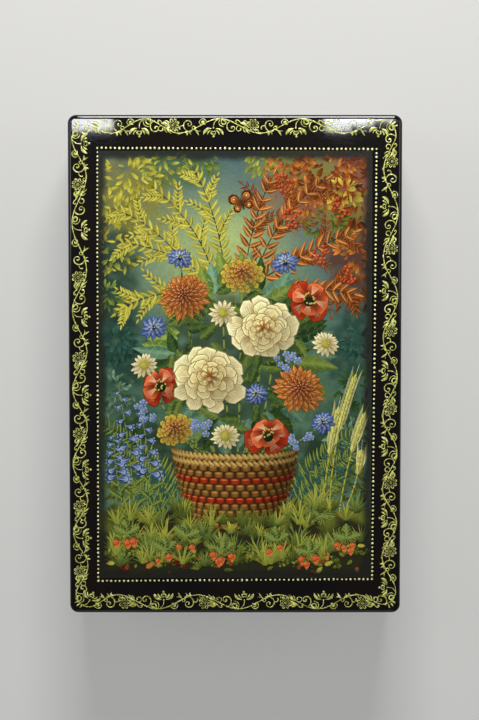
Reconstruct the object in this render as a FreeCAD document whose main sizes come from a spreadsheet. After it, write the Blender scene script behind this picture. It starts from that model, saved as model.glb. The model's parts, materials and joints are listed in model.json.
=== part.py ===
import FreeCAD, Part
import Sketcher
import os

# A papier-mache lacquer box, lying on its bottom board with the painted lid up.
# Seen from above the picture stands upright: +Y is its head end, -Y its foot end,
# -X the hinge side and +X the side that opens. The origin is under the middle of the box.

# The sizes, in millimetres.
SIZES = [
    ("box_width", 140.0),
    ("box_length", 210.0),
    ("body_height", 40.0),
    ("wall_thick", 5.0),
    ("corner_radius", 3.5),
    ("bottom_thick", 4.0),
    ("bottom_edge_radius", 1.0),
    ("rim_height", 10.0),
    ("lid_thick", 5.0),
    ("crown_rise", 1.4),
    ("lid_edge_radius", 1.6),
    ("picture_side_margin", 12.5),
    ("picture_end_margin", 15.0),
    ("picture_corner", 1.5),
    ("lacquer_film", 0.1),
    ("paint_thick", 0.25),
    ("collar_thick", 2.0),
    ("collar_depth", 9.0),
    ("collar_rise", 5.0),
    ("collar_gap", 0.3),
    ("collar_chamfer", 0.6),
    ("barrel_radius", 2.2),
    ("barrel_gap", 0.3),
    ("hinge_length", 30.0),
    ("hinge_depth", 7.0),
    ("hinge_inset", 47.0),
    ("lid_knuckle", 14.0),
    ("knuckle_gap", 0.3),
    ("bevel_drop", 2.7),
    ("pin_radius", 0.8),
    ("pin_clearance", 0.05),
    ("pin_end_gap", 0.4),
    ("cut_overrun", 3.0),
]

doc = FreeCAD.newDocument("lacquer_box")
sheet = doc.addObject("Spreadsheet::Sheet", "sizes")
for row, (alias, millimetres) in enumerate(SIZES, start=1):
    sheet.set(f"A{row}", alias)
    sheet.set(f"B{row}", str(millimetres))
    sheet.setAlias(f"B{row}", alias)
doc.recompute()


def size(words):
    # A formula in which each word that is a size of the sheet is looked up there.
    names = {alias for alias, _ in SIZES}
    return " ".join(f"sizes.{word}" if word in names else word for word in words.split())


# Formulas that several pieces share, all worked out from the sheet.
INNER_WIDTH = "( box_width - 2 * wall_thick )"
INNER_LENGTH = "( box_length - 2 * wall_thick )"
WALL_HEIGHT = "( body_height - bottom_thick )"
RIM_TOP = "( body_height + rim_height )"
LID_TOP = f"( {RIM_TOP} + lid_thick )"
REACH_SQUARED = "( ( box_width / 2 ) ^ 2 + ( box_length / 2 ) ^ 2 )"
# The lid's top is part of a large sphere that falls by crown_rise from the middle to a corner.
CROWN_RADIUS = f"( ( {REACH_SQUARED} + crown_rise ^ 2 ) / ( 2 * crown_rise ) )"
CROWN_CENTRE = f"( {LID_TOP} - {CROWN_RADIUS} )"
PICTURE_WIDTH = "( box_width - 2 * picture_side_margin )"
PICTURE_LENGTH = "( box_length - 2 * picture_end_margin )"
# The hinge pins lie at the height where lid and body part, one barrel radius inside the outer face.
OUTER_FACE = "( 0 - box_width / 2 )"
INNER_FACE = "( wall_thick - box_width / 2 )"
PIN_X = "( barrel_radius - box_width / 2 )"
HINGE_Y = "( box_length / 2 - hinge_inset )"
BEVEL_LOW = "( body_height - bevel_drop )"
BEVEL_HIGH = "( body_height + bevel_drop )"

pieces = []


def new_body(name):
    body = doc.addObject("PartDesign::Body", name)
    body.Label = name
    pieces.append(body)
    return body


def new_sketch(body, name, role, offset=None):
    # The sketch lies on one of the body's own origin planes, moved along its normal by offset.
    sketch = body.newObject("Sketcher::SketchObject", f"{body.Name}_{name}")
    plane = next(item for item in body.Origin.OriginFeatures if item.Role == role)
    sketch.AttachmentSupport = [(plane, "")]
    sketch.MapMode = "FlatFace"
    if offset:
        sketch.setExpression("AttachmentOffset.Base.z", size(offset))
    return sketch


def number(sketch, formula):
    return float(sketch.evalExpression(size(formula)))


def hold(sketch, kind, line, end, formula):
    # Holds one end of a line, or the centre of an arc, at its place from the sketch's origin.
    constraint = sketch.addConstraint(
        Sketcher.Constraint(kind, -1, 1, line, end, number(sketch, formula)))
    sketch.setExpression(f"Constraints[{constraint}]", size(formula))


def add_outline(sketch, corners):
    # A closed outline of straight lines whose corners are (x formula, y formula).
    first = sketch.GeometryCount
    count = len(corners)
    places = [FreeCAD.Vector(number(sketch, x), number(sketch, y)) for x, y in corners]
    for index, place in enumerate(places):
        sketch.addGeometry(Part.LineSegment(place, places[(index + 1) % count]), False)
    for index in range(count):
        following = first + (index + 1) % count
        sketch.addConstraint(Sketcher.Constraint("Coincident", first + index, 2, following, 1))
    for index, (x, y) in enumerate(corners):
        hold(sketch, "DistanceX", first + index, 1, x)
        hold(sketch, "DistanceY", first + index, 1, y)


def add_rectangle(sketch, width, length):
    # A rectangle whose middle is the sketch's origin.
    right, left = f"{width} / 2", f"0 - {width} / 2"
    top, bottom = f"{length} / 2", f"0 - {length} / 2"
    add_outline(sketch, [(left, bottom), (right, bottom), (right, top), (left, top)])


def add_circle(sketch, x, y, radius):
    centre = FreeCAD.Vector(number(sketch, x), number(sketch, y))
    circle = sketch.addGeometry(
        Part.Circle(centre, FreeCAD.Vector(0, 0, 1), number(sketch, radius)), False)
    hold(sketch, "DistanceX", circle, 3, x)
    hold(sketch, "DistanceY", circle, 3, y)
    constraint = sketch.addConstraint(
        Sketcher.Constraint("Radius", circle, number(sketch, radius)))
    sketch.setExpression(f"Constraints[{constraint}]", size(radius))


def pad(body, name, sketch, length, both_ways=False):
    feature = body.newObject("PartDesign::Pad", f"{body.Name}_{name}")
    feature.Profile = sketch
    feature.setExpression("Length", size(length))
    feature.SideType = "Symmetric" if both_ways else "One side"
    doc.recompute()
    return feature


def pocket(body, name, sketch, length=None, reverse=False):
    # With no length the cut goes right through, both ways from the sketch.
    before = body.Shape.Volume
    feature = body.newObject("PartDesign::Pocket", f"{body.Name}_{name}")
    feature.Profile = sketch
    if length is None:
        feature.Type = "ThroughAll"
        feature.SideType = "Symmetric"
    else:
        feature.Type = "Length"
        feature.setExpression("Length", size(length))
        feature.Reversed = reverse
    doc.recompute()
    if not body.Shape.Volume < before:
        raise RuntimeError(f"{feature.Name} cuts nothing")
    return feature


def ball(body, kind, name, radius):
    # A sphere about the centre of the lid's crown. Its poles point along Y, away from the lid's face.
    feature = body.newObject(f"PartDesign::{kind}Sphere", f"{body.Name}_{name}")
    plane = next(item for item in body.Origin.OriginFeatures if item.Role == "XZ_Plane")
    feature.AttachmentSupport = [(plane, "")]
    feature.MapMode = "FlatFace"
    feature.setExpression("AttachmentOffset.Base.y", size(CROWN_CENTRE))
    feature.setExpression("Radius", size(radius))
    doc.recompute()
    return feature


def keep_inside_ball(body, name, radius):
    # What is left of the body inside a sphere about the centre of the lid's crown.
    tool = doc.addObject("PartDesign::Body", f"{body.Name}_{name}")
    ball(tool, "Additive", "ball", radius)
    feature = body.newObject("PartDesign::Boolean", f"{body.Name}_inside_{name}")
    feature.Type = "Common"
    feature.setObjects([tool])
    doc.recompute()
    return feature


def mirror(body, name, features, role):
    feature = body.newObject("PartDesign::Mirrored", f"{body.Name}_{name}")
    feature.Originals = features
    plane = next(item for item in body.Origin.OriginFeatures if item.Role == role)
    feature.MirrorPlane = (plane, [""])
    body.Tip = feature
    doc.recompute()
    return feature


def round_edges(body, name, base, radius, chosen):
    edges = [f"Edge{index}" for index, edge in enumerate(base.Shape.Edges, start=1) if chosen(edge)]
    feature = body.newObject("PartDesign::Fillet", f"{body.Name}_{name}")
    feature.Base = (base, edges)
    feature.setExpression("Radius", size(radius))
    doc.recompute()
    return feature


def is_upright(edge):
    box = edge.BoundBox
    return box.ZLength > max(box.XLength, box.YLength) * 2


def is_on_level(level):
    def test(edge):
        return abs(edge.BoundBox.ZMin - level) + abs(edge.BoundBox.ZMax - level) < edge.Length / 1000
    return test


def rounded_block(body, bottom, height):
    # The box's own outline with rounded upright corners.
    outline = new_sketch(body, "outline", "XY_Plane", bottom)
    add_rectangle(outline, "box_width", "box_length")
    block = pad(body, "block", outline, height)
    return round_edges(body, "corners", block, "corner_radius", is_upright)


def make_bottom_board():
    body = new_body("bottom_board")
    block = rounded_block(body, None, "bottom_thick")
    round_edges(body, "bottom_edge", block, "bottom_edge_radius", is_on_level(block.Shape.BoundBox.ZMin))


def make_ring(name, bottom, height, bevel_level, mortise_level):
    # A wound ring of the box's wall, bevelled along the hinge side and cut out for two hinges.
    body = new_body(name)
    rounded_block(body, bottom, height)
    hollow = new_sketch(body, "hollow", "XY_Plane", bottom)
    add_rectangle(hollow, INNER_WIDTH, INNER_LENGTH)
    pocket(body, "inside", hollow)

    bevel = new_sketch(body, "bevel", "XZ_Plane")
    add_outline(bevel, [
        (PIN_X, "body_height"),
        (OUTER_FACE, bevel_level),
        (f"{OUTER_FACE} - cut_overrun", bevel_level),
        (f"{OUTER_FACE} - cut_overrun", "body_height"),
    ])
    pocket(body, "hinge_bevel", bevel)

    near, far = f"( {HINGE_Y} - hinge_length / 2 )", f"( {HINGE_Y} + hinge_length / 2 )"
    mortise = new_sketch(body, "mortise", "YZ_Plane", f"{OUTER_FACE} - cut_overrun")
    add_outline(mortise, [
        (near, "body_height"),
        (far, "body_height"),
        (far, mortise_level),
        (near, mortise_level),
    ])
    # The cut is deeper than the wall, but stops short of the wall across the box.
    through = "wall_thick + 2 * cut_overrun"
    head = pocket(body, "head_mortise", mortise, through, reverse=True)
    mirror(body, "foot_mortise", [head], "XZ_Plane")


def make_lid_board():
    body = new_body("lid_board")
    rounded_block(body, RIM_TOP, "lid_thick")
    crowned = keep_inside_ball(body, "crown", CROWN_RADIUS)
    lid_face = max(crowned.Shape.Faces, key=lambda face: face.CenterOfMass.z)
    on_face = [edge.hashCode() for edge in lid_face.Edges]
    round_edges(body, "top_edge", crowned, "lid_edge_radius", lambda edge: edge.hashCode() in on_face)


def make_miniature_ground():
    # The thin painted ground of the picture, which follows the lid's crown on a film of lacquer.
    body = new_body("miniature_ground")
    outline = new_sketch(body, "outline", "XY_Plane", RIM_TOP)
    add_rectangle(outline, PICTURE_WIDTH, PICTURE_LENGTH)
    block = pad(body, "block", outline, "lid_thick + cut_overrun")
    round_edges(body, "corners", block, "picture_corner", is_upright)
    keep_inside_ball(body, "paint_face", f"{CROWN_RADIUS} + lacquer_film + paint_thick")
    ball(body, "Subtractive", "film_face", f"{CROWN_RADIUS} + lacquer_film")


def make_collar(name, run, side_x, side_y, quarter_turns):
    # One mitred strip glued inside the wall, which stands up into the lid. It is drawn along X
    # with its glued face at y = 0, and then turned and moved to its wall.
    body = new_body(name)
    section = new_sketch(body, "section", "YZ_Plane")
    low, high = "( body_height - collar_depth )", "( body_height + collar_rise )"
    inner = "( 0 - collar_thick )"
    add_outline(section, [
        ("0", low),
        ("0", "body_height"),
        ("0 - collar_gap", "body_height"),
        ("0 - collar_gap", f"{high} - collar_chamfer"),
        ("0 - collar_gap - collar_chamfer", high),
        (inner, high),
        (inner, low),
    ])
    pad(body, "strip", section, run, both_ways=True)
    mitre = new_sketch(body, "mitre", "XY_Plane")
    add_outline(mitre, [
        (f"{run} / 2 + cut_overrun", "cut_overrun"),
        (f"{run} / 2 + cut_overrun", f"{inner} - cut_overrun"),
        (f"{run} / 2 + {inner} - cut_overrun", f"{inner} - cut_overrun"),
    ])
    end = pocket(body, "end_mitre", mitre)
    mirror(body, "other_mitre", [end], "YZ_Plane")
    body.setExpression("Placement.Base.x", size(side_x))
    body.setExpression("Placement.Base.y", size(side_y))
    body.Placement.Rotation = FreeCAD.Rotation(FreeCAD.Vector(0, 0, 1), 90 * quarter_turns)


def make_body_leaf(name, place_y):
    # The block glued into the body's wall, with a knuckle at each end.
    body = new_body(name)
    section = new_sketch(body, "section", "XZ_Plane")
    low = "( body_height - hinge_depth )"
    add_outline(section, [
        (OUTER_FACE, low),
        (INNER_FACE, low),
        (INNER_FACE, "body_height"),
        (PIN_X, "body_height"),
        (OUTER_FACE, BEVEL_LOW),
    ])
    pad(body, "block", section, "hinge_length", both_ways=True)
    barrel = new_sketch(body, "barrel", "XZ_Plane")
    add_circle(barrel, PIN_X, "body_height", "barrel_radius")
    pad(body, "knuckles", barrel, "hinge_length", both_ways=True)
    gap = new_sketch(body, "gap", "XZ_Plane")
    add_circle(gap, PIN_X, "body_height", "barrel_radius + barrel_gap")
    cut = pocket(body, "lid_knuckle_gap", gap, "lid_knuckle + 2 * knuckle_gap")
    cut.SideType = "Symmetric"
    bore = new_sketch(body, "bore", "XZ_Plane")
    add_circle(bore, PIN_X, "body_height", "pin_radius")
    pocket(body, "pin_bore", bore)
    body.setExpression("Placement.Base.y", size(place_y))


def make_lid_leaf(name, place_y):
    # The block glued into the lid's rim, with the middle knuckle that the pin turns in.
    body = new_body(name)
    section = new_sketch(body, "section", "XZ_Plane")
    high = "( body_height + hinge_depth )"
    add_outline(section, [
        (PIN_X, "body_height"),
        (INNER_FACE, "body_height"),
        (INNER_FACE, high),
        (OUTER_FACE, high),
        (OUTER_FACE, BEVEL_HIGH),
    ])
    pad(body, "block", section, "hinge_length", both_ways=True)
    # The XZ plane faces -Y, so this sketch lies at -Y and its cut runs out to the block's end.
    relief = new_sketch(body, "relief", "XZ_Plane", "lid_knuckle / 2")
    add_circle(relief, PIN_X, "body_height", "barrel_radius + barrel_gap")
    end = pocket(body, "knuckle_relief", relief, "hinge_length / 2", reverse=True)
    mirror(body, "other_relief", [end], "XZ_Plane")
    barrel = new_sketch(body, "barrel", "XZ_Plane")
    add_circle(barrel, PIN_X, "body_height", "barrel_radius")
    pad(body, "knuckle", barrel, "lid_knuckle", both_ways=True)
    bore = new_sketch(body, "bore", "XZ_Plane")
    add_circle(bore, PIN_X, "body_height", "pin_radius + pin_clearance")
    pocket(body, "pin_bore", bore)
    body.setExpression("Placement.Base.y", size(place_y))


def make_pin(name, place_y):
    body = new_body(name)
    wire = new_sketch(body, "wire", "XZ_Plane")
    add_circle(wire, PIN_X, "body_height", "pin_radius")
    pad(body, "pin", wire, "hinge_length - 2 * pin_end_gap", both_ways=True)
    body.setExpression("Placement.Base.y", size(place_y))


def make_hinge(end, place_y):
    make_body_leaf(f"{end}_hinge_body_leaf", place_y)
    make_lid_leaf(f"{end}_hinge_lid_leaf", place_y)
    make_pin(f"{end}_hinge_pin", place_y)


make_bottom_board()
make_ring("wound_wall", "bottom_thick", WALL_HEIGHT, BEVEL_LOW, "body_height - hinge_depth")
make_ring("lid_rim", "body_height", "rim_height", BEVEL_HIGH, "body_height + hinge_depth")
make_lid_board()
make_miniature_ground()
make_collar("head_collar", INNER_WIDTH, "0", f"{INNER_LENGTH} / 2", 0)
make_collar("foot_collar", INNER_WIDTH, "0", f"0 - {INNER_LENGTH} / 2", 2)
make_collar("hinge_side_collar", INNER_LENGTH, f"0 - {INNER_WIDTH} / 2", "0", 1)
make_collar("opening_side_collar", INNER_LENGTH, f"{INNER_WIDTH} / 2", "0", 3)
make_hinge("head", HINGE_Y)
make_hinge("foot", f"0 - {HINGE_Y}")
doc.recompute()

for item in doc.Objects:
    if "Invalid" in item.State or "Error" in item.State:
        raise RuntimeError(f"{item.Name} failed: {item.State}")

os.makedirs("parts", exist_ok=True)
for body in pieces:
    shape = body.Shape
    if shape.isNull() or not shape.isValid() or len(shape.Solids) != 1:
        raise RuntimeError(f"{body.Label} is not one sound solid")
    shape.exportStep(f"parts/{body.Label}.step")
    print(body.Label, f"{shape.Volume:.1f} mm3")
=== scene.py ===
import bpy
import json
import math
import random
from mathutils import Matrix, Vector, noise

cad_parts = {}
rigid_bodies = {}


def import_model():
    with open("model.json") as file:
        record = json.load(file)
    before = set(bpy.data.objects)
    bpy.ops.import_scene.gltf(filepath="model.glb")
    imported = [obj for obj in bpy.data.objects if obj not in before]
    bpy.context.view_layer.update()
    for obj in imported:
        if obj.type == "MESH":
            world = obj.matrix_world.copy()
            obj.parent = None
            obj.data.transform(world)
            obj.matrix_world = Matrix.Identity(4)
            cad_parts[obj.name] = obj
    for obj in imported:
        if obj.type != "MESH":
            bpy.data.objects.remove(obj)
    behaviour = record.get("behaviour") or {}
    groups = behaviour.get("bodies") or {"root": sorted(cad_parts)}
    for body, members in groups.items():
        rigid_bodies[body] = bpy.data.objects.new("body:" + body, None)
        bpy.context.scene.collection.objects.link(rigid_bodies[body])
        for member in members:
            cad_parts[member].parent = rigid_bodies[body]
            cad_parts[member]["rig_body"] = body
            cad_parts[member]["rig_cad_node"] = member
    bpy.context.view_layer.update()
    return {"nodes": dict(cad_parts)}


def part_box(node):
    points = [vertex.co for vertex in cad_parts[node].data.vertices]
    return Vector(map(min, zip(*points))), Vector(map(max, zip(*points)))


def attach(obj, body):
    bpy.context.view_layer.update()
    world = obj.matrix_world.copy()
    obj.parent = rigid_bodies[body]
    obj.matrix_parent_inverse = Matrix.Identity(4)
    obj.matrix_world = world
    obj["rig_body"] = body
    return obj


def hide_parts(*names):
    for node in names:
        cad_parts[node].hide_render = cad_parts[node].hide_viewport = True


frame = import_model()
mm = 0.001
fullTurn = 2 * math.pi
hand = random.Random(7)  # the painter's hand: every small unevenness comes from here


def deselectAll():
    bpy.ops.object.select_all(action="DESELECT")


def pickOnly(thing):
    deselectAll()
    thing.select_set(True)
    bpy.context.view_layer.objects.active = thing


def addThing(name, data):
    thing = bpy.data.objects.new(name, data)
    bpy.context.scene.collection.objects.link(thing)
    return thing


def addMesh(name, points, faces, colours=()):
    mesh = bpy.data.meshes.new(name)
    mesh.from_pydata(points, [], faces)
    if colours:
        tint = mesh.color_attributes.new(name="tint", type="FLOAT_COLOR", domain="POINT")
        tint.data.foreach_set("color", colours)
    mesh.update()
    return addThing(name, mesh)


def finishPiece(thing, name, body, material):
    thing.name = name
    thing.data.name = name
    thing.data.materials.clear()
    thing.data.materials.append(material)
    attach(thing, body)


def smoothUnder(thing, angle):
    pickOnly(thing)
    bpy.ops.object.shade_smooth_by_angle(angle=angle)


def editWhole(thing):
    pickOnly(thing)
    bpy.ops.object.mode_set(mode="EDIT")
    bpy.ops.mesh.select_all(action="SELECT")


def selectParts(thing, kind, test):
    # Goes into edit mode with only those edges or faces selected whose corners pass the test.
    editWhole(thing)
    bpy.ops.mesh.select_mode(type=kind)
    bpy.ops.mesh.select_all(action="DESELECT")
    bpy.ops.object.mode_set(mode="OBJECT")
    mesh = thing.data
    for part in (mesh.edges if kind == "EDGE" else mesh.polygons):
        part.select = test([mesh.vertices[index].co for index in part.vertices])
    bpy.ops.object.mode_set(mode="EDIT")


def leaveEditMode():
    bpy.ops.mesh.select_all(action="DESELECT")
    bpy.ops.object.mode_set(mode="OBJECT")


# Colours are written as they are seen on screen, 0 to 255, and turned to linear light here.
def seen(red, green, blue):
    def linear(value):
        value = value / 255
        return value / 12.92 if value <= 0.04045 else ((value + 0.055) / 1.055) ** 2.4
    return (linear(red), linear(green), linear(blue), 1)


def mixed(first, second, share):
    return tuple(a + (b - a) * share for a, b in zip(first, second))


def addNode(tree, kind, inputs={}, **settings):
    # A node with its settings. Each input is wired to a socket or given a plain value.
    node = tree.nodes.new("ShaderNode" + kind)
    for setting, value in settings.items():
        setattr(node, setting, value)
    for socket, value in inputs.items():
        if isinstance(value, bpy.types.NodeSocket):
            tree.links.new(value, node.inputs[socket])
        else:
            node.inputs[socket].default_value = value
    return node


def addMath(tree, operation, *values):
    return addNode(tree, "Math", dict(enumerate(values)), operation=operation).outputs[0]


def rampOf(tree, source, stops):
    ramp = addNode(tree, "ValToRGB", {0: source})
    elements = ramp.color_ramp.elements
    while len(elements) < len(stops):
        elements.new(0.5)
    for element, (position, colour) in zip(elements, stops):
        element.position = position
        element.color = colour
    return ramp.outputs["Color"]


def newMaterial(name, plain={}):
    # A material with plain values on some of its shader's sockets.
    material = bpy.data.materials.new(name)
    material.use_nodes = True
    shader = material.node_tree.nodes["Principled BSDF"]
    for socket, value in plain.items():
        shader.inputs[socket].default_value = value
    return material, material.node_tree, shader


print("1 camera and light")

shot = {
    "distance": 720 * mm,
    "tilt": math.radians(3.0),  # the head end is a little nearer to the lens
    "sensor": 36,
    "clipStart": 10 * mm,
    "imageSize": (479, 720),
    "lidMiddle": (235, 365.8),  # where the photograph has the middle of the lid, in pixels
    "lidLength": 499.2,  # and how long it is there
}
lidLow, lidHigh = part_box("lid_board")
lidMiddle = Vector((0, 0, lidHigh.z))
perPixel = (lidHigh.y - lidLow.y) * math.cos(shot["tilt"]) / shot["lidLength"]
aim = lidMiddle + Vector((
    (shot["imageSize"][0] / 2 - shot["lidMiddle"][0]) * perPixel,
    (shot["lidMiddle"][1] - shot["imageSize"][1] / 2) * perPixel,
    0,
))
backwards = Vector((0, math.sin(shot["tilt"]), math.cos(shot["tilt"])))
bpy.ops.object.camera_add(location=aim + backwards * shot["distance"])
camera = bpy.context.object
camera.rotation_euler = (-shot["tilt"], 0, 0)
camera.data.sensor_width = shot["sensor"]
camera.data.lens = shot["sensor"] * shot["distance"] / (shot["imageSize"][1] * perPixel)
camera.data.clip_start = shot["clipStart"]
bpy.context.scene.camera = camera
bpy.context.scene.view_settings.view_transform = "Standard"

coolWhite = (0.86, 0.89, 1.0)
studio = {
    "floorSize": 6.0,
    "floorLook": {"Base Color": seen(206, 206, 204), "Roughness": 0.9},
    # the air from the horizon up
    "air": [(0.12, (0.62, 0.62, 0.63, 1)), (0.62, (0.012, 0.012, 0.014, 1))],
    "airStrength": 0.42,
    "paper": (0.62, 0.62, 0.61, 1),  # the plain backdrop as the lens sees it
    "paperShare": 0.5,  # how much of that shows on the floor, whatever the lamps do there
    "sideways": 0.7,  # a lamp that shines across the box more than this has its width along the box
    # name, place, aimed at, width, depth, watts, colour
    "lamps": [
        ("headKey", (0.02, 0.56, 0.53), (0.0, 0.06, 0.05), 0.32, 0.18, 7.2, (1.0, 0.985, 0.955)),
        ("leftFill", (-0.74, 0.28, 0.92), (0.0, 0.0, 0.04), 0.46, 0.46, 1.7, (0.97, 0.98, 1.0)),
        ("rightFill", (0.74, 0.24, 0.92), (0.0, 0.0, 0.04), 0.46, 0.46, 1.3, (1.0, 0.985, 0.97)),
        ("footFill", (0.0, -0.95, 0.75), (0.0, 0.0, 0.04), 0.7, 0.3, 0.6, (1.0, 1.0, 1.0)),
        # these four show in the polished lid as the white patches at its top corners
        ("leftGlint", (-0.221, 0.283, 1.553), (-0.06, 0.1, 0.053), 0.062, 0.022, 0.11, coolWhite),
        ("rightGlint", (0.182, 0.291, 1.553), (0.053, 0.1, 0.053), 0.104, 0.012, 0.095, coolWhite),
        ("blockGlint", (0.152, 0.281, 1.553), (0.044, 0.1, 0.053), 0.038, 0.020, 0.055, coolWhite),
        ("stepGlint", (0.188, 0.286, 1.553), (0.054, 0.1, 0.053), 0.034, 0.016, 0.04, coolWhite),
    ],
}


def showPaper(tree, kinds, share, lit, paper, output):
    # Lets rays of these kinds see that share of the plain backdrop in place of what is lit.
    path = addNode(tree, "LightPath")
    amount = path.outputs[kinds[0]]
    for kind in kinds[1:]:
        amount = addMath(tree, "MAXIMUM", amount, path.outputs[kind])
    amount = addMath(tree, "MULTIPLY", amount, share)
    mix = addNode(tree, "MixShader", {0: amount, 1: lit.outputs[0], 2: paper.outputs[0]})
    tree.links.new(mix.outputs[0], tree.nodes[output].inputs["Surface"])


def makeGradientWorld():
    world = bpy.data.worlds.new("studioAir")
    world.use_nodes = True
    bpy.context.scene.world = world
    tree = world.node_tree
    parts = addNode(tree, "SeparateXYZ", {0: addNode(tree, "TexCoord").outputs["Generated"]})
    air = tree.nodes["Background"]
    air.inputs["Strength"].default_value = studio["airStrength"]
    tree.links.new(rampOf(tree, parts.outputs["Z"], studio["air"]), air.inputs["Color"])
    paper = addNode(tree, "Background", {"Color": studio["paper"], "Strength": studio["paperShare"]})
    showPaper(tree, ["Is Camera Ray"], 1.0, air, paper, "World Output")


def makeFloorPaint():
    material, tree, shader = newMaterial("paleFloor", studio["floorLook"])
    paper = addNode(tree, "Emission", {"Color": studio["paper"]})
    kinds = ["Is Camera Ray", "Is Glossy Ray", "Is Transmission Ray"]
    showPaper(tree, kinds, studio["paperShare"], shader, paper, "Material Output")
    return material


def addLamp(name, place, target, width, depth, watts, colour):
    bpy.ops.object.light_add(type="AREA", location=place)
    lamp = bpy.context.object
    lamp.name = name
    lamp.data.shape = "RECTANGLE"
    lamp.data.size = width
    lamp.data.size_y = depth
    lamp.data.energy = watts
    lamp.data.color = colour
    back = (Vector(place) - Vector(target)).normalized()
    level = Vector((0, 1, 0)) if abs(back.x) > studio["sideways"] else Vector((1, 0, 0))
    up = back.cross(level).normalized()
    lamp.rotation_mode = "QUATERNION"
    lamp.rotation_quaternion = Matrix((up.cross(back), up, back)).transposed().to_quaternion()


makeGradientWorld()
for lampFacts in studio["lamps"]:
    addLamp(*lampFacts)

bpy.ops.mesh.primitive_plane_add(size=studio["floorSize"])
floor = bpy.context.object
floor.name = "floor"
floor.data.materials.append(makeFloorPaint())

print("2 finishes")


def objectNoise(tree, lumps, detail, stretch=(1, 1, 1)):
    # Noise in the piece's own place, in lumps per metre.
    place = addNode(tree, "TexCoord").outputs["Object"]
    mapping = addNode(tree, "Mapping", {"Vector": place, "Scale": stretch})
    texture = {"Vector": mapping.outputs["Vector"], "Scale": lumps, "Detail": detail}
    return addNode(tree, "TexNoise", texture).outputs["Fac"]


def spanOf(tree, source, low, high):
    # Spreads a 0 to 1 value between two levels.
    return addNode(tree, "MapRange", {"Value": source, "To Min": low, "To Max": high}).outputs["Result"]


def addBump(tree, source, height, target="Normal"):
    bump = addNode(tree, "Bump", {"Height": source, "Strength": 1.0, "Distance": height})
    tree.links.new(bump.outputs["Normal"], tree.nodes["Principled BSDF"].inputs[target])


lacquer = {
    "black": seen(20, 19, 20),
    "brownBlack": seen(27, 22, 20),
    "red": seen(154, 24, 15),
    "deepRed": seen(136, 19, 13),
    "toneLumps": 38,  # how fine its patches of colour are, in lumps per metre
    "handledLumps": 90,  # and its handling marks
    "handledShine": (0.018, 0.05),
    "waveLumps": 55,  # and the waves of the polished surface
    "waveHeight": 0.004 * mm,
    "brushLumps": 60,  # the red is brushed on along the box
    "brushStretch": (4, 0.5, 4),
}


def addPolish(tree, target="Normal"):
    addBump(tree, objectNoise(tree, lacquer["waveLumps"], 2), lacquer["waveHeight"], target)


def makeLacquer(name, first, second):
    material, tree, shader = newMaterial(name)
    patches = objectNoise(tree, lacquer["toneLumps"], 4)
    tree.links.new(rampOf(tree, patches, [(0.35, first), (0.7, second)]), shader.inputs["Base Color"])
    handled = objectNoise(tree, lacquer["handledLumps"], 5)
    tree.links.new(spanOf(tree, handled, *lacquer["handledShine"]), shader.inputs["Roughness"])
    addPolish(tree)
    return material


# The walls and boards are black outside and red within, told apart by where the surface is.
def makeShellLacquer(name, insideLow, insideHigh):
    material = makeLacquer(name, lacquer["black"], lacquer["brownBlack"])
    tree = material.node_tree
    colour = tree.nodes["Principled BSDF"].inputs["Base Color"]
    black = colour.links[0].from_socket
    brushed = objectNoise(tree, lacquer["brushLumps"], 5, lacquer["brushStretch"])
    red = rampOf(tree, brushed, [(0.3, lacquer["deepRed"]), (0.68, lacquer["red"])])
    parts = addNode(tree, "SeparateXYZ", {0: addNode(tree, "TexCoord").outputs["Object"]})
    inside = 1.0
    for axis, low, high in zip("XYZ", insideLow, insideHigh):
        within = addMath(tree, "COMPARE", parts.outputs[axis], (low + high) / 2, (high - low) / 2)
        inside = addMath(tree, "MULTIPLY", inside, within)
    mix = addNode(tree, "Mix", {"Factor": inside, "A": black, "B": red}, data_type="RGBA")
    tree.links.new(mix.outputs["Result"], colour)
    return material


gilt = {
    "bright": seen(230, 233, 156),
    "middle": seen(180, 184, 90),
    "dark": seen(108, 108, 36),
    "dotBright": seen(232, 232, 168),
    "dotDark": seen(176, 180, 92),
    "lumps": 900,
    "grainLumps": 2600,
    "grainHeight": 0.01 * mm,
    "look": {"Metallic": 0.15, "Roughness": 0.5, "Specular IOR Level": 0.25, "Coat Weight": 0.8,
             "Coat Roughness": 0.05},
}


def makeGilt(name, dark, middle, bright):
    material, tree, shader = newMaterial(name, gilt["look"])
    patches = objectNoise(tree, gilt["lumps"], 4)
    colour = rampOf(tree, patches, [(0.32, dark), (0.5, middle), (0.66, bright)])
    tree.links.new(colour, shader.inputs["Base Color"])
    addBump(tree, objectNoise(tree, gilt["grainLumps"], 2), gilt["grainHeight"])
    return material


steel = {
    "dark": seen(150, 148, 142),
    "light": seen(198, 196, 190),
    "lumps": 900,
    "stretch": (1, 0.05, 1),  # the wire is drawn along the hinge
    "shine": (0.22, 0.4),
}


def makeSteel():
    material, tree, shader = newMaterial("pinSteel", {"Metallic": 1.0})
    streaks = objectNoise(tree, steel["lumps"], 3, steel["stretch"])
    colour = rampOf(tree, streaks, [(0.3, steel["dark"]), (0.7, steel["light"])])
    tree.links.new(colour, shader.inputs["Base Color"])
    tree.links.new(spanOf(tree, streaks, *steel["shine"]), shader.inputs["Roughness"])
    return material


blackLacquer = makeLacquer("blackLacquer", lacquer["black"], lacquer["brownBlack"])
redLacquer = makeLacquer("redLacquer", lacquer["deepRed"], lacquer["red"])
giltPaint = makeGilt("giltPaint", gilt["dark"], gilt["middle"], gilt["bright"])
dotPaint = makeGilt("dotPaint", gilt["dotDark"], gilt["dotBright"], gilt["dotBright"])
pinSteel = makeSteel()

print("3 box and lid")

wallLow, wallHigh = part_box("wound_wall")
rimLow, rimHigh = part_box("lid_rim")
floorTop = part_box("bottom_board")[1].z
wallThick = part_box("hinge_side_collar")[0].x - wallLow.x
seamSlack = 0.05 * mm

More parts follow.
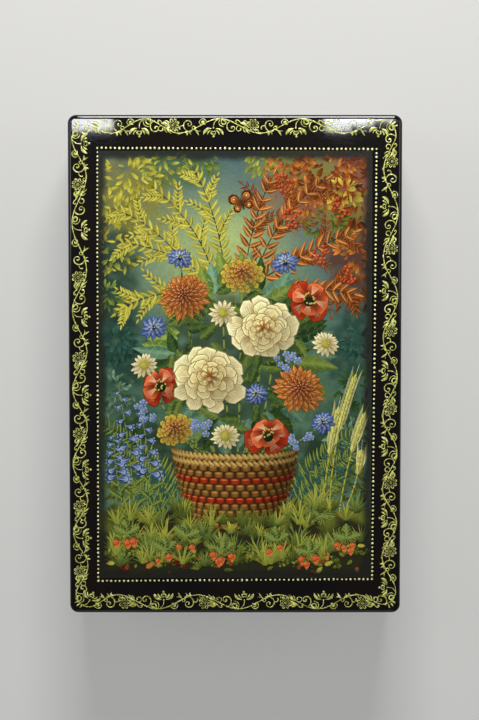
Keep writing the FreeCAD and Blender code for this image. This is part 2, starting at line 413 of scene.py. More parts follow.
shell = {
    "softEdge": 0.35 * mm,  # how much the polish has rounded each sharp edge
    "softSteps": 3,
    "mergeDistance": 0.002 * mm,
    "flatAngle": math.radians(0.6),
    "smoothAngle": math.radians(32),
}
innerX, innerY = wallHigh.x - wallThick + seamSlack, wallHigh.y - wallThick + seamSlack
shellLacquer = makeShellLacquer(
    "shellLacquer", (-innerX, -innerY, floorTop - seamSlack), (innerX, innerY, rimHigh.z + seamSlack))


def polishedCopy(node, name, body, softLevel=None, material=shellLacquer):
    # The CAD piece itself, joined up into clean faces, with the edges at one level rubbed round.
    copy = frame["nodes"][node].copy()
    copy.data = copy.data.copy()
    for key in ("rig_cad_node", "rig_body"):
        if key in copy:
            del copy[key]
    copy.parent = None
    bpy.context.scene.collection.objects.link(copy)
    editWhole(copy)
    bpy.ops.mesh.remove_doubles(threshold=shell["mergeDistance"])
    bpy.ops.mesh.customdata_custom_splitnormals_clear()
    bpy.ops.mesh.dissolve_limited(angle_limit=shell["flatAngle"])
    bpy.ops.object.mode_set(mode="OBJECT")
    if softLevel is not None:
        selectParts(copy, "EDGE", lambda ends: all(abs(end.z - softLevel) < seamSlack for end in ends))
        bpy.ops.mesh.bevel(offset=shell["softEdge"], segments=shell["softSteps"], affect="EDGES")
        leaveEditMode()
    smoothUnder(copy, shell["smoothAngle"])
    finishPiece(copy, name, body, material)
    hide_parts(node)


polishedCopy("bottom_board", "bottom_lacquer", "body")
polishedCopy("wound_wall", "wall_lacquer", "body", wallHigh.z)
polishedCopy("lid_rim", "rim_lacquer", "lid", rimLow.z)

lid = {
    "thickness": 5.0 * mm,
    "cornerRadius": 3.5 * mm,
    "cornerSteps": 10,
    "edgeRadius": 1.6 * mm,
    "edgeSteps": 8,
    "crownRise": 1.4 * mm,
    "cuts": (14, 21),  # cells of the crowned face, across and along
    "flatMargin": 0.25 * mm,  # the last cut keeps the face true up to the rounded edge
}
lidTop = lidLow.z + lid["thickness"]
halfWidth, halfLength = lidHigh.x, lidHigh.y
crownRadius = (halfWidth ** 2 + halfLength ** 2 + lid["crownRise"] ** 2) / (2 * lid["crownRise"])


def crownDrop(x, y):
    # How far the lid's face has fallen below its middle at a place.
    return crownRadius - math.sqrt(crownRadius ** 2 - x * x - y * y)


def makeLidBoard():
    deselectAll()
    bpy.ops.mesh.primitive_cube_add(size=1, location=(0, 0, (lidLow.z + lidTop) / 2))
    board = bpy.context.object
    board.scale = (halfWidth * 2, halfLength * 2, lid["thickness"])
    bpy.ops.object.transform_apply(location=True, rotation=False, scale=True)
    selectParts(board, "EDGE", lambda ends: abs(ends[0].z - ends[1].z) > lid["thickness"] / 2)
    bpy.ops.mesh.bevel(offset=lid["cornerRadius"], segments=lid["cornerSteps"], affect="EDGES")
    leaveEditMode()
    selectParts(board, "FACE", lambda corners: min(corner.z for corner in corners) > lidTop - seamSlack)
    bpy.ops.mesh.region_to_loop()
    bpy.ops.mesh.bevel(offset=lid["edgeRadius"], segments=lid["edgeSteps"], affect="EDGES")
    for axis, half, count in zip((0, 1), (halfWidth, halfLength), lid["cuts"]):
        flat = half - lid["edgeRadius"] - lid["flatMargin"]
        for step in range(count + 1):
            place, facing = [0, 0, 0], [0, 0, 0]
            place[axis] = -flat + 2 * flat * step / count
            facing[axis] = 1
            bpy.ops.mesh.select_all(action="SELECT")
            bpy.ops.mesh.bisect(plane_co=place, plane_no=facing)
    leaveEditMode()
    for vertex in board.data.vertices:
        lift = (vertex.co.z - lidLow.z) / lid["thickness"]
        vertex.co.z -= crownDrop(vertex.co.x, vertex.co.y) * lift
    smoothUnder(board, shell["smoothAngle"])
    bpy.ops.object.modifier_add(type="WEIGHTED_NORMAL")
    board.modifiers[-1].keep_sharp = True
    bpy.ops.object.modifier_apply(modifier=board.modifiers[-1].name)
    finishPiece(board, "lid_lacquer", "lid", shellLacquer)
    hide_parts("lid_board")


makeLidBoard()

for collar in ("head_collar", "foot_collar", "hinge_side_collar", "opening_side_collar"):
    polishedCopy(collar, collar + "_lacquer", "body", None, redLacquer)
for name, node in frame["nodes"].items():
    for ending, finish in (("_leaf", blackLacquer), ("_pin", pinSteel)):
        if name.endswith(ending):
            node.data.materials.clear()
            node.data.materials.append(finish)

print("4 gilt scroll border")

border = {
    "inset": 4.75 * mm,  # the scroll's middle line, in from the lid's edge
    "turnRadius": 5.0 * mm,
    "swing": 3.05 * mm,  # how far the stem swings either side of the middle line
    # where each bud hangs, in millimetres round the middle line from the top left corner
    "buds": [22.4, 54.4, 89.8, 124.3, 160.7, 197.0, 229.8, 262.4, 292.4, 320.5, 353.3, 386.4, 421.6, 454.5,
             480.5, 509.5, 542.1, 573.6, 609.5, 651.5],
    "budAt": 14.0,  # how far along its unit a bud hangs
    "unitLength": 33.0,  # the length that the strokes below are drawn for
    "stemWidth": 0.36,
    "thinLine": 0.58,  # lines under this width are drawn finer still, beside the full leaves
    "thinShare": 0.84,
    "stemPoints": 16,
    "relief": 0.11,  # a stroke's thickness as a share of its width
    "flatTop": 0.26,  # half of its flat top, as a share too
    "steps": 3,  # between two points of a stroke
    "smoothAngle": math.radians(60),
    "lift": 0.004 * mm,
}


def makeStrokeProfile():
    profile = bpy.data.curves.new("strokeProfile", "CURVE")
    profile.dimensions = "2D"
    line = profile.splines.new("POLY")
    top, relief = border["flatTop"], border["relief"]
    corners = [(-0.5, 0), (-top, relief), (top, relief), (0.5, 0)]
    line.points.add(len(corners) - 1)
    for point, (x, y) in zip(line.points, corners):
        point.co = (x * mm, y * mm, 0, 1)
    line.use_cyclic_u = True
    return addThing("strokeProfile", profile)


strokeProfile = makeStrokeProfile()


def newStrokeCurve(name):
    curve = bpy.data.curves.new(name, "CURVE")
    curve.dimensions = "3D"
    curve.twist_mode = "Z_UP"
    curve.bevel_mode = "OBJECT"
    curve.bevel_object = strokeProfile
    curve.use_fill_caps = True
    curve.resolution_u = border["steps"]
    return addThing(name, curve)


def addStroke(curve, points, closed=False):
    # One brush stroke through (x, y, width in millimetres).
    spline = curve.data.splines.new("NURBS")
    spline.points.add(len(points) - 1)
    for point, (x, y, width) in zip(spline.points, points):
        point.co = (x, y, 0, 1)
        point.radius = width
    spline.order_u = 3
    spline.use_cyclic_u = closed
    spline.use_endpoint_u = not closed


def layStrokes(curve):
    # Turns the strokes into a mesh and seats them on the crown of the lid.
    pickOnly(curve)
    bpy.ops.object.convert(target="MESH")
    for vertex in curve.data.vertices:
        vertex.co.z += lidTop + border["lift"] - crownDrop(vertex.co.x, vertex.co.y)
    smoothUnder(curve, border["smoothAngle"])


# The border runs clockwise round the lid, from the middle of the top left corner.
midX, midY = halfWidth - border["inset"], halfLength - border["inset"]
turn = border["turnRadius"]
quarter = math.pi * turn / 2
acrossRun, alongRun = 2 * (midX - turn), 2 * (midY - turn)
loopLength = 2 * (acrossRun + alongRun) + 4 * quarter


def outwardOf(way):
    return Vector((-way.y, way.x))


def onMidLine(distance):
    # The place and the direction of travel at a distance along the border's middle line.
    left = (distance + quarter / 2) % loopLength
    corners = [(-midX, midY), (midX, midY), (midX, -midY), (-midX, -midY)]
    ways = [(1, 0), (0, -1), (-1, 0), (0, 1)]
    for corner, way, run in zip(corners, ways, (acrossRun, alongRun) * 2):
        corner, way = Vector(corner), Vector(way)
        outward = outwardOf(way)
        if left < quarter:
            centre = corner + (way - outward) * turn
            angle = left / turn
            return (centre + (outward * math.sin(angle) - way * math.cos(angle)) * turn,
                    way * math.sin(angle) + outward * math.cos(angle))
        left -= quarter
        if left < run:
            return corner + way * (turn + left), way
        left -= run
    return onMidLine(0)


def troughPlaces():
    # Where the stem swings furthest in, all the way round: once before each bud.
    lead = border["budAt"] / border["unitLength"]
    buds = [place * mm for place in border["buds"]]
    return [bud - lead * ((bud - before) % loopLength) for before, bud in zip([buds[-1]] + buds, buds)]


def ballAt(u, t, width):
    # A round touch of the brush: along, and how wide it is there, both as shares of its width.
    touch = [(-0.5, 0.25), (-0.3, 0.95), (0, 1.1), (0.3, 0.95), (0.5, 0.25)]
    return [(u + width * step, t, width * share) for step, share in touch]


# A petal as its share of the rosette's radius, its swing from its middle and its width.
petalLine = [(0.40, -0.16, 0.14), (0.74, -0.27, 0.30), (1.0, -0.16, 0.46), (1.04, 0.08, 0.48),
             (0.86, 0.27, 0.34), (0.44, 0.16, 0.14)]


def rosette(centreU, centreT, radius, petals=8, ringShare=0.24, ringSteps=6):
    def at(share, angle, width):
        return centreU + radius * share * math.cos(angle), centreT + radius * share * math.sin(angle), width

    middles = [fullTurn * (petal + 0.5) / petals for petal in range(petals)]
    strokes = [[at(share, middle + swing, width) for share, swing, width in petalLine] for middle in middles]
    strokes.append([at(ringShare, fullTurn * step / ringSteps, 0.2) for step in range(ringSteps + 1)])
    strokes.append(ballAt(centreU, centreT, 0.32))
    return strokes


def palmette(centreU, topT):
    # A hanging bud between two fluted leaves, with a pearl under it.
    strokes = [ballAt(centreU, topT, 0.6)]
    flutes = [
        ((0.9, -0.3, 0.2), (2.0, -0.3, 0.7), (3.1, -1.0, 1.2), (3.85, -2.2, 0.95), (4.0, -2.8, 0.15)),
        ((1.0, -0.9, 0.15), (1.75, -1.35, 0.6), (2.3, -2.1, 0.62), (2.35, -2.75, 0.15)),
    ]
    cup = ((0.0, -1.75, 0.2), (0.4, -1.15, 0.3), (0.85, -1.5, 0.4), (0.95, -2.2, 0.6), (0.4, -2.7, 0.6),
           (0.0, -2.5, 0.3))
    for side in (-1, 1):
        for leaf in flutes + [cup]:
            strokes.append([(centreU + side * u, topT + t, width) for u, t, width in leaf])
    strokes.append(ballAt(centreU + 0.1, topT - 3.45, 0.9))
    return strokes


# One unit of the border, from trough to trough, drawn flat: how far along, how far out, how wide,
# all in millimetres. Each group leaves the stem at its first number and keeps its shape there.
unitStrokes = [
    (0.0, [[(-0.8, -3.05, 0.2), (0, -3.05, 1.15), (0.8, -3.05, 0.2)]]),
    (3.4, [
        [(3.7, -2.35, 0.35), (2.5, -1.7, 0.45), (1.72, -0.4, 0.5), (1.78, 1.1, 0.48), (2.7, 2.2, 0.44),
         (4.1, 2.35, 0.4), (5.15, 1.45, 0.36), (5.05, 0.25, 0.32), (4.1, -0.15, 0.3), (3.45, 0.5, 0.5),
         (3.75, 1.0, 0.75), (4.0, 0.85, 0.4)],
        [(1.75, 0.0, 0.3), (0.85, 0.15, 0.42), (0.05, -0.45, 0.45), (0.0, -1.35, 0.62), (0.35, -1.55, 0.3)],
        [(2.4, -2.5, 0.3), (3.2, -2.75, 0.95), (3.5, -3.5, 0.7), (3.1, -4.0, 0.12)],
        [(3.3, -2.5, 0.4), (4.4, -2.45, 1.05), (5.4, -1.9, 0.5)],
        [(4.2, -2.6, 0.5), (4.9, -3.2, 0.5), (4.9, -3.7, 0.1)],
    ]),
    (6.4, [
        [(6.9, -1.6, 0.35), (5.9, -1.55, 0.4), (5.1, -0.9, 0.38), (5.5, -0.1, 0.36), (6.35, -0.1, 0.34),
         (6.5, -0.75, 0.6), (6.3, -0.85, 0.3)],
        [(6.8, -1.7, 0.5), (7.4, -2.4, 0.85), (7.9, -3.3, 0.5), (8.25, -3.9, 0.1)],
        [(7.3, -2.0, 0.4), (8.2, -2.2, 0.4), (8.9, -2.0, 0.1)],
    ]),
    (9.6, [
        [(11.4, 1.5, 0.25), (10.9, 2.45, 0.36), (9.7, 3.05, 0.4), (8.5, 2.5, 0.42), (8.1, 1.4, 0.42),
         (8.7, 0.6, 0.36), (9.5, 0.35, 0.2)],
        [(10.9, 0.75, 0.35), (10.0, 0.75, 0.8), (9.4, 1.45, 1.15), (9.9, 2.05, 0.75), (10.4, 1.75, 0.3)],
    ]),
    (14.6, [
        [(15.7, 2.75, 0.3), (14.5, 1.9, 0.34), (14.0, 0.6, 0.34), (14.0, -0.5, 0.34)],
        *palmette(14.0, -0.75),
    ]),
    (17.0, [
        [(16.7, 3.0, 0.3), (15.95, 1.9, 0.34), (16.2, 0.6, 0.36), (17.3, -0.25, 0.3), (18.3, -0.3, 0.12)],
        [(17.3, 2.9, 0.5), (16.95, 1.8, 0.6), (17.5, 0.8, 0.6), (18.7, 0.75, 0.5), (19.25, 1.6, 0.6),
         (18.75, 2.2, 0.75), (18.35, 1.9, 0.4)],
        [(17.4, 2.9, 0.4), (18.2, 2.5, 1.15), (18.9, 2.75, 0.5), (19.3, 2.85, 0.1)],
    ]),
    (20.4, [
        [(21.2, 2.25, 0.35), (20.0, 1.7, 0.42), (19.3, 0.5, 0.48), (19.4, -1.1, 0.48), (20.5, -2.35, 0.46),
         (22.1, -2.3, 0.42), (22.9, -1.1, 0.38), (22.4, -0.1, 0.36), (21.4, -0.15, 0.5), (21.35, -0.95, 0.85),
         (21.7, -1.05, 0.4)],
    ]),
    (24.4, [
        [(25.6, 0.65, 0.35), (24.7, 1.7, 0.4), (23.6, 2.55, 0.4), (22.8, 2.1, 0.42), (23.2, 1.5, 0.65),
         (23.5, 1.6, 0.3)],
        [(24.7, 0.4, 0.3), (23.5, -0.2, 0.36), (23.1, -1.2, 0.38), (23.8, -2.1, 0.36), (24.9, -2.0, 0.34),
         (25.3, -1.2, 0.75), (24.9, -0.9, 0.4)],
    ]),
    (26.6, [
        [(24.7, 1.2, 0.3), (26.0, 1.1, 1.3), (27.2, 0.5, 1.2), (28.2, -0.5, 0.35)],
        [(25.6, 1.4, 0.4), (26.4, 2.15, 0.75), (27.4, 2.0, 0.5), (27.9, 1.2, 0.7), (27.6, 0.9, 0.3)],
        [(26.4, -0.2, 0.5), (26.1, -1.3, 0.55), (26.5, -2.3, 0.5), (27.1, -2.7, 0.15)],
        [(26.9, -0.6, 0.6), (27.4, -1.7, 0.75), (28.0, -2.6, 0.5), (28.9, -3.2, 0.1)],
        [(27.2, -0.9, 0.4), (28.1, -1.4, 0.6), (28.9, -2.3, 0.35)],
    ]),
    (29.8, rosette(30.1, 0.5, 2.4)),
    (31.6, [
        [(31.2, -2.9, 0.3), (31.0, -2.1, 0.36), (31.7, -1.5, 0.36), (32.4, -1.8, 0.34), (32.2, -2.4, 0.5)],
    ]),
]
cornerLeaf = [
    [(-0.2, 2.9, 0.6), (0.0, 3.9, 0.9), (0.1, 4.75, 0.2)],
    [(-1.1, 2.8, 0.5), (-1.5, 3.8, 0.7), (-1.4, 4.4, 0.2)],
    [(0.9, 2.8, 0.5), (1.5, 3.7, 0.7), (1.6, 4.3, 0.2)],
]


def brushWidth(width):
    return width * (border["thinShare"] if width < border["thinLine"] else 1)


def makeScrollBorder():
    scroll = newStrokeCurve("gilt_scroll")
    troughs = troughPlaces()
    stem = []

    def beside(place, way, along, out):
        # A place on the lid from one on the middle line, with both steps in millimetres.
        return place + (way * along + outwardOf(way) * out) * mm

    for start, following in zip(troughs, troughs[1:] + troughs[:1]):
        length = (following - start) % loopLength
        for step in range(border["stemPoints"]):
            share = step / border["stemPoints"]
            place, way = onMidLine(start + share * length)
            spot = place - outwardOf(way) * border["swing"] * math.cos(fullTurn * share)
            stem.append((*spot, border["stemWidth"] * hand.uniform(0.8, 1.25)))
        for anchor, strokes in unitStrokes:
            place, way = onMidLine(start + anchor / border["unitLength"] * length)
            way = Matrix.Rotation(hand.uniform(-0.03, 0.03), 2) @ way
            size = hand.uniform(0.96, 1.04)
            for stroke in strokes:
                press = hand.uniform(0.85, 1.15)
                addStroke(scroll, [
                    (*beside(place, way, (u - anchor) * size, t * size), brushWidth(width) * press)
                    for u, t, width in stroke])
    addStroke(scroll, stem, closed=True)
    cornerDistance = 0
    for run in (acrossRun + quarter, alongRun + quarter) * 2:
        place, way = onMidLine(cornerDistance)
        for stroke in cornerLeaf:
            addStroke(scroll, [(*beside(place, way, u, t), width) for u, t, width in stroke])
        cornerDistance += run
    layStrokes(scroll)
    finishPiece(scroll, "gilt_scroll", "lid", giltPaint)


makeScrollBorder()

print("5 frame of gilt dots")

dots = {
    # the frame is drawn by eye: how far its corners lie in from the lid's, clockwise from the top left
    "insets": [(12.5, 13.85), (10.8, 14.3), (12.0, 14.45), (12.1, 13.65)],
    "counts": (61, 101, 61, 101),
    "drift": 0.05,  # how much the pitch opens halfway along a side and closes at its ends
    "width": 0.85,
    "height": 0.12,  # a share of its width
    "jitter": 0.07,
    "segments": 10,
    "rings": 8,
    "cutAt": 0.18,  # how far over its middle the ball is cut, of its diameter
    "smoothAngle": math.radians(50),
}


def makeDome():
    # A low dome a unit wide and a unit high, closed below.
    deselectAll()
    bpy.ops.mesh.primitive_uv_sphere_add(segments=dots["segments"], ring_count=dots["rings"], radius=0.5)
    dome = bpy.context.object
    editWhole(dome)
    bpy.ops.mesh.bisect(
        plane_co=(0, 0, dots["cutAt"]), plane_no=(0, 0, 1), clear_inner=True, use_fill=True)
    leaveEditMode()
    low = min(vertex.co.z for vertex in dome.data.vertices)
    reach = max(vertex.co.x for vertex in dome.data.vertices)
    for vertex in dome.data.vertices:
        vertex.co = (vertex.co.x / reach / 2, vertex.co.y / reach / 2, (vertex.co.z - low) / (0.5 - low))
    return dome


def dotSpots():
    # Where the dots lie, side after side, clockwise from the top left corner, in millimetres.
    sides = [(-1, 1), (1, 1), (1, -1), (-1, -1)]
    corners = [Vector((sideX * (halfWidth / mm - inX), sideY * (halfLength / mm - inY)))
               for (sideX, sideY), (inX, inY) in zip(sides, dots["insets"])]
    for first, second, count in zip(corners, corners[1:] + corners[:1], dots["counts"]):
        for step in range(count):
            angle = fullTurn * step / count
            yield first.lerp(second, (angle - dots["drift"] * math.sin(angle)) / fullTurn)


def makeDotFrame():
    dome = makeDome()
    corners = [vertex.co.copy() for vertex in dome.data.vertices]
    shapes = [list(face.vertices) for face in dome.data.polygons]
    points, faces = [], []
    for spot in dotSpots():
        width = dots["width"] * hand.uniform(0.82, 1.12)
        spot += Vector((hand.uniform(-1, 1), hand.uniform(-1, 1))) * dots["jitter"]
        turned = Matrix.Rotation(hand.uniform(0, 6), 2)
        length = width * hand.uniform(0.92, 1.1)
        start = len(points)
        for corner in corners:
            x, y = (spot + turned @ Vector((corner.x * width, corner.y * length))) * mm
            points.append((x, y, lidTop - crownDrop(x, y) + corner.z * dots["height"] * width * mm))
        faces += [[start + index for index in shape] for shape in shapes]
    bpy.data.meshes.remove(dome.data)  # its object goes with it
    frameOfDots = addMesh("gilt_dots", points, faces)
    smoothUnder(frameOfDots, dots["smoothAngle"])
    finishPiece(frameOfDots, "gilt_dots", "lid", dotPaint)


makeDotFrame()

print("6 painted picture")

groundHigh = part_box("miniature_ground")[1]
picture = {
    "halfWidth": groundHigh.x / mm,
    "halfLength": groundHigh.y / mm,
    "groundHeight": 0.05,  # all heights here are in millimetres over the lid's face
    "grid": 1.0,
    "fade": 3.6,  # how far in from its edge the painting comes out of the dark
    "darkEdge": 0.4,  # it is all dark up to here
    "dimmest": 0.08,  # what is left of its colours there
    "cornersFrom": (46, 76),  # further out than this the dark rounds its corners off
    "cornerPull": 0.12,
    "edge": seen(34, 35, 31),
    "margin": 0.3,  # what the brush keeps clear at the very edge
    "thick": 0.012,  # a layer of paint
    "lightFrom": math.radians(125),
}
tone = {
    "skyTop": seen(58, 88, 104), "skyLow": seen(86, 122, 98), "glow": seen(172, 190, 118),
    "mist": seen(120, 150, 112), "shade": seen(34, 44, 30), "earth": seen(52, 42, 24),
    "moss": seen(118, 128, 44), "mossLight": seen(170, 176, 74),
    "rustDark": seen(82, 36, 14), "rust": seen(140, 70, 26), "rustLight": seen(206, 128, 56),
    "creamDark": seen(150, 120, 54), "cream": seen(224, 210, 134), "creamLight": seen(242, 234, 182),
    "redDark": seen(104, 22, 12), "red": seen(176, 54, 24), "redLight": seen(226, 112, 62),
    "blueDark": seen(34, 48, 104), "blue": seen(84, 112, 172), "blueLight": seen(158, 180, 214),
    "yellowDark": seen(128, 122, 38), "yellow": seen(196, 190, 74), "yellowLight": seen(232, 230, 132),
    "leafDark": seen(26, 46, 28), "leaf": seen(62, 92, 40), "leafLight": seen(140, 158, 70),
    "tealDark": seen(22, 50, 46), "teal": seen(56, 100, 84), "tealLight": seen(122, 158, 124),
    "wickerDark": seen(62, 38, 16), "wicker": seen(140, 98, 44), "wickerLight": seen(214, 176, 96),
    "twig": seen(70, 44, 24), "hair": seen(244, 238, 196),
}


def lumpy(x, y, *lumps):
    # Noise of several sizes added up. Each is its size, its seed and its strength.
    return sum(strength * noise.noise(Vector((x / size, y / size, seed))) for size, seed, strength in lumps)


def softSpot(x, y, spotX, spotY, wide, tall):
    return math.exp(-((x - spotX) / wide) ** 2 - ((y - spotY) / tall) ** 2)


def smooth(value):
    value = min(1, max(0, value))
    return value * value * (3 - 2 * value)


def fadedAt(colour, x, y):
    # The colour as it is seen there: dark at the painting's ragged edge, full further in.
    inward = min(picture["halfWidth"] - abs(x), picture["halfLength"] - abs(y)) - picture["darkEdge"]
    cornerX, cornerY = picture["cornersFrom"]
    rounding = math.hypot(max(0, abs(x) - cornerX), max(0, abs(y) - cornerY)) * picture["cornerPull"]
    ragged = lumpy(x, y, (9, 3, 1.54), (3.5, 5, 0.56))
    shown = smooth((inward - rounding + ragged) / picture["fade"])
    return mixed(picture["edge"], colour, picture["dimmest"] + (1 - picture["dimmest"]) * shown)


backdrop = {
    "skyFrom": 0.5,  # the share of the picture's height where the sky begins to darken
    "skyRise": 2.2,
    "glow": (-6, 47, 30, 26),  # the light behind the flowers: x, y, width, height
    "glowStrength": 0.95,
    "bankTop": -58,  # everything under this is the bank in front
    "bankSoftness": 3,
    "mossDepth": 14,
}
farMasses = [  # far foliage: x, y, width, height, colour, strength
    (38, 74, 26, 18, "rust", 0.7), (50, 46, 13, 22, "rustDark", 0.8), (24, 84, 20, 9, "moss", 0.6),
    (46, 62, 10, 10, "moss", 0.5),
    (-44, 70, 20, 20, "yellowDark", 0.75), (-24, 82, 18, 9, "leaf", 0.6), (-50, 36, 11, 26, "leafDark", 0.8),
    (-48, 4, 13, 24, "tealDark", 0.85), (50, 6, 12, 24, "tealDark", 0.8), (0, 2, 40, 36, "shade", 0.75),
    (-42, -34, 18, 20, "leafDark", 0.85), (44, -34, 18, 20, "leafDark", 0.85), (0, -40, 40, 16, "shade", 0.8),
]


def groundColour(x, y):
    height = (y / picture["halfLength"] + 1) / 2
    cloud = 0.5 + lumpy(x, y, (22, 1, 0.5), (9, 2, 0.25))
    risen = (height - backdrop["skyFrom"]) * backdrop["skyRise"]
    colour = mixed(tone["skyLow"], tone["skyTop"], smooth(risen + 0.3 * cloud))
    glow = backdrop["glowStrength"] * softSpot(x, y, *backdrop["glow"]) * (0.6 + 0.5 * cloud)
    colour = mixed(colour, tone["glow"], min(1, glow))
    for spotX, spotY, wide, tall, name, strength in farMasses:
        ragged = 1 + lumpy(x, y, (7, spotX, 0.55), (3, spotY, 0.3))
        share = smooth(1.6 * softSpot(x, y, spotX, spotY, wide, tall) * ragged - 0.25)
        light = mixed(tone[name], tone["mist"], max(0, lumpy(x, y, (4, spotX + spotY, 0.35))))
        colour = mixed(colour, light, strength * share)
    depth = backdrop["bankTop"] + lumpy(x, 0, (17, 4, 5), (6, 6, 2)) - y
    soil = mixed(tone["earth"], tone["shade"], 0.5 + lumpy(x, y, (5, 8, 0.5)))
    soil = mixed(soil, tone["moss"], smooth(0.9 + lumpy(x, y, (8, 7, 1)) - depth / backdrop["mossDepth"]))
    return fadedAt(mixed(colour, soil, smooth(depth / backdrop["bankSoftness"])), x, y)


paint = {
    "grainLumps": 900,
    "grain": [(0.3, (0.86, 0.86, 0.87, 1)), (0.7, (1.09, 1.09, 1.06, 1))],
    # the clear lacquer over the paint does the shining
    "look": {"Roughness": 0.5, "Specular IOR Level": 0.05, "Coat Weight": 1.0, "Coat Roughness": 0.04},
}


def makePaint():
    # Tempera under clear lacquer: its colour is in the piece's own tint attribute.
    material, tree, shader = newMaterial("picturePaint", paint["look"])
    tint = addNode(tree, "VertexColor", layer_name="tint")
    grain = rampOf(tree, objectNoise(tree, paint["grainLumps"], 6), paint["grain"])
    colours = {"Factor": 1.0, "A": tint.outputs["Color"], "B": grain}
    mix = addNode(tree, "Mix", colours, data_type="RGBA", blend_type="MULTIPLY")
    tree.links.new(mix.outputs["Result"], shader.inputs["Base Color"])
    addPolish(tree, "Coat Normal")
    return material


picturePaint = makePaint()


def makeGround():
    wide, long = picture["halfWidth"] * 2, picture["halfLength"] * 2
    height = picture["groundHeight"] * mm
    deselectAll()
    bpy.ops.mesh.primitive_grid_add(
        x_subdivisions=round(wide / picture["grid"]), y_subdivisions=round(long / picture["grid"]), size=1)
    ground = bpy.context.object
    ground.scale = (wide * mm, long * mm, 1)
    bpy.ops.object.transform_apply(location=False, rotation=False, scale=True)
    editWhole(ground)
    bpy.ops.mesh.extrude_region_move(TRANSFORM_OT_translate={"value": (0, 0, -height)})
    bpy.ops.mesh.select_all(action="SELECT")
    bpy.ops.mesh.normals_make_consistent(inside=False)
    leaveEditMode()
    tint = ground.data.color_attributes.new(name="tint", type="FLOAT_COLOR", domain="POINT")
    for vertex, dab in zip(ground.data.vertices, tint.data):
        x, y = vertex.co.x, vertex.co.y
        dab.color = groundColour(x / mm, y / mm)
        vertex.co.z += lidTop + height - crownDrop(x, y)
    finishPiece(ground, "picture_ground", "lid", picturePaint)
    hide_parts("miniature_ground")


makeGround()

print("7 brush strokes of the picture")

# How high each kind of paintwork lies. What is painted over the rest lies higher.
levels = {
    "thickets": 0.055, "ferns": 0.090, "twigs": 0.092, "boughs": 0.104, "stems": 0.112, "basket": 0.112,
    "berries": 0.12, "tallStems": 0.125, "ringLeaves": 0.125, "fillingLeaves": 0.150, "grass": 0.20,
    "moss": 0.222, "smallFlowers": 0.225, "fallenLeaves": 0.236, "berryLeaves": 0.255, "stalks": 0.266,
    "fruit": 0.27, "butterfly": 0.27,
}


def makePlate(columns, rows, placeOf, shadeOf, mergeDistance=0.002):
    # One dab of paint as a thin closed plate a unit long. Both functions take a point's share
    # across, -1 to 1, and its share along, 0 to 1.
    deselectAll()
    bpy.ops.mesh.primitive_grid_add(x_subdivisions=columns, y_subdivisions=rows, size=2)
    plate = bpy.context.object
    editWhole(plate)
    bpy.ops.mesh.extrude_region_move(TRANSFORM_OT_translate={"value": (0, 0, -1)})
    bpy.ops.mesh.dissolve_faces()
    bpy.ops.object.mode_set(mode="OBJECT")
    shade = plate.data.attributes.new(name="shade", type="FLOAT", domain="POINT")
    for vertex, value in zip(plate.data.vertices, shade.data):
        across, along = vertex.co.x, (vertex.co.y + 1) / 2
        value.value = min(1, max(0, shadeOf(across, along)))
        vertex.co.x, vertex.co.y = placeOf(across, along)
    editWhole(plate)
    bpy.ops.mesh.remove_doubles(threshold=mergeDistance)
    bpy.ops.mesh.normals_make_consistent(inside=False)
    leaveEditMode()
    return plate


def discPlace(across, along):
    # Squares the circle: a point of the grid goes to the same share of a disc a unit wide.
    down = 2 * along - 1
    return (0.5 * across * math.sqrt(1 - down * down / 2),
            0.5 + 0.5 * down * math.sqrt(1 - across * across / 2))


def broadPlace(across, along):
    # A disc drawn in towards the petal's foot, with a wavy outer rim.
    x, y = discPlace(across, along)
    wave = 0.022 * math.cos(across * 5.5) * along ** 4
    return x * (0.34 + 0.68 * along ** 0.8), y + wave


def tapering(widthAt, sag=0.0):
    # A dab as wide as the function says at each share of its length. Its sides hang back by the sag.
    def placeOf(across, along):
        return 0.5 * across * widthAt(along), along - sag * abs(across) * math.sin(math.pi * along)
    return placeOf


def bulge(share, power):
    return math.sin(math.pi * share) ** power


def leafShade(across, along):
    # A light midrib between a lighter and a darker half.
    if across == 0:
        return 0.9
    return 0.35 + 0.3 * along if across < 0 else 0.1 + 0.2 * along


plates = {
    "broad": makePlate(4, 5, broadPlace, lambda u, v: 0.02 + 0.92 * v ** 2.3 + 0.14 * abs(u) * v - 0.05 * u),
    "disc": makePlate(4, 4, discPlace, lambda u, v: 0.95 - 0.75 * math.hypot(u + 0.35, 2 * v - 1.45)),
    "leaf": makePlate(4, 5, tapering(lambda v: bulge(v ** 0.8, 0.9), 0.05), leafShade),
    "slender": makePlate(2, 4, tapering(lambda v: bulge(0.08 + 0.92 * v ** 1.15, 0.85)),
                         lambda u, v: 0.08 + 0.85 * v + 0.2 * (u < 0) * v),
    "blade": makePlate(2, 4, tapering(lambda v: (1 - v) ** 0.6), lambda u, v: 0.1 + 0.8 * v + 0.15 * (u < 0)),
    "hair": makePlate(1, 3, tapering(lambda v: bulge(0.12 + 0.88 * v, 0.7)), lambda u, v: 0.4 + 0.6 * v),
    "strap": makePlate(2, 4, tapering(lambda v: bulge(0.14 + 0.72 * v, 0.35)),
                       lambda u, v: bulge(v, 0.7) * (0.75 - 0.3 * u)),
}


def newLayer(name):
    return {"name": name, "points": [], "faces": [], "colours": []}


def wayOf(base, tip):
    # The direction from one place to another, across and up, and how far it is.
    alongX, alongY = tip[0] - base[0], tip[1] - base[1]
    length = math.hypot(alongX, alongY) or 0.001
    return alongX / length, alongY / length, length


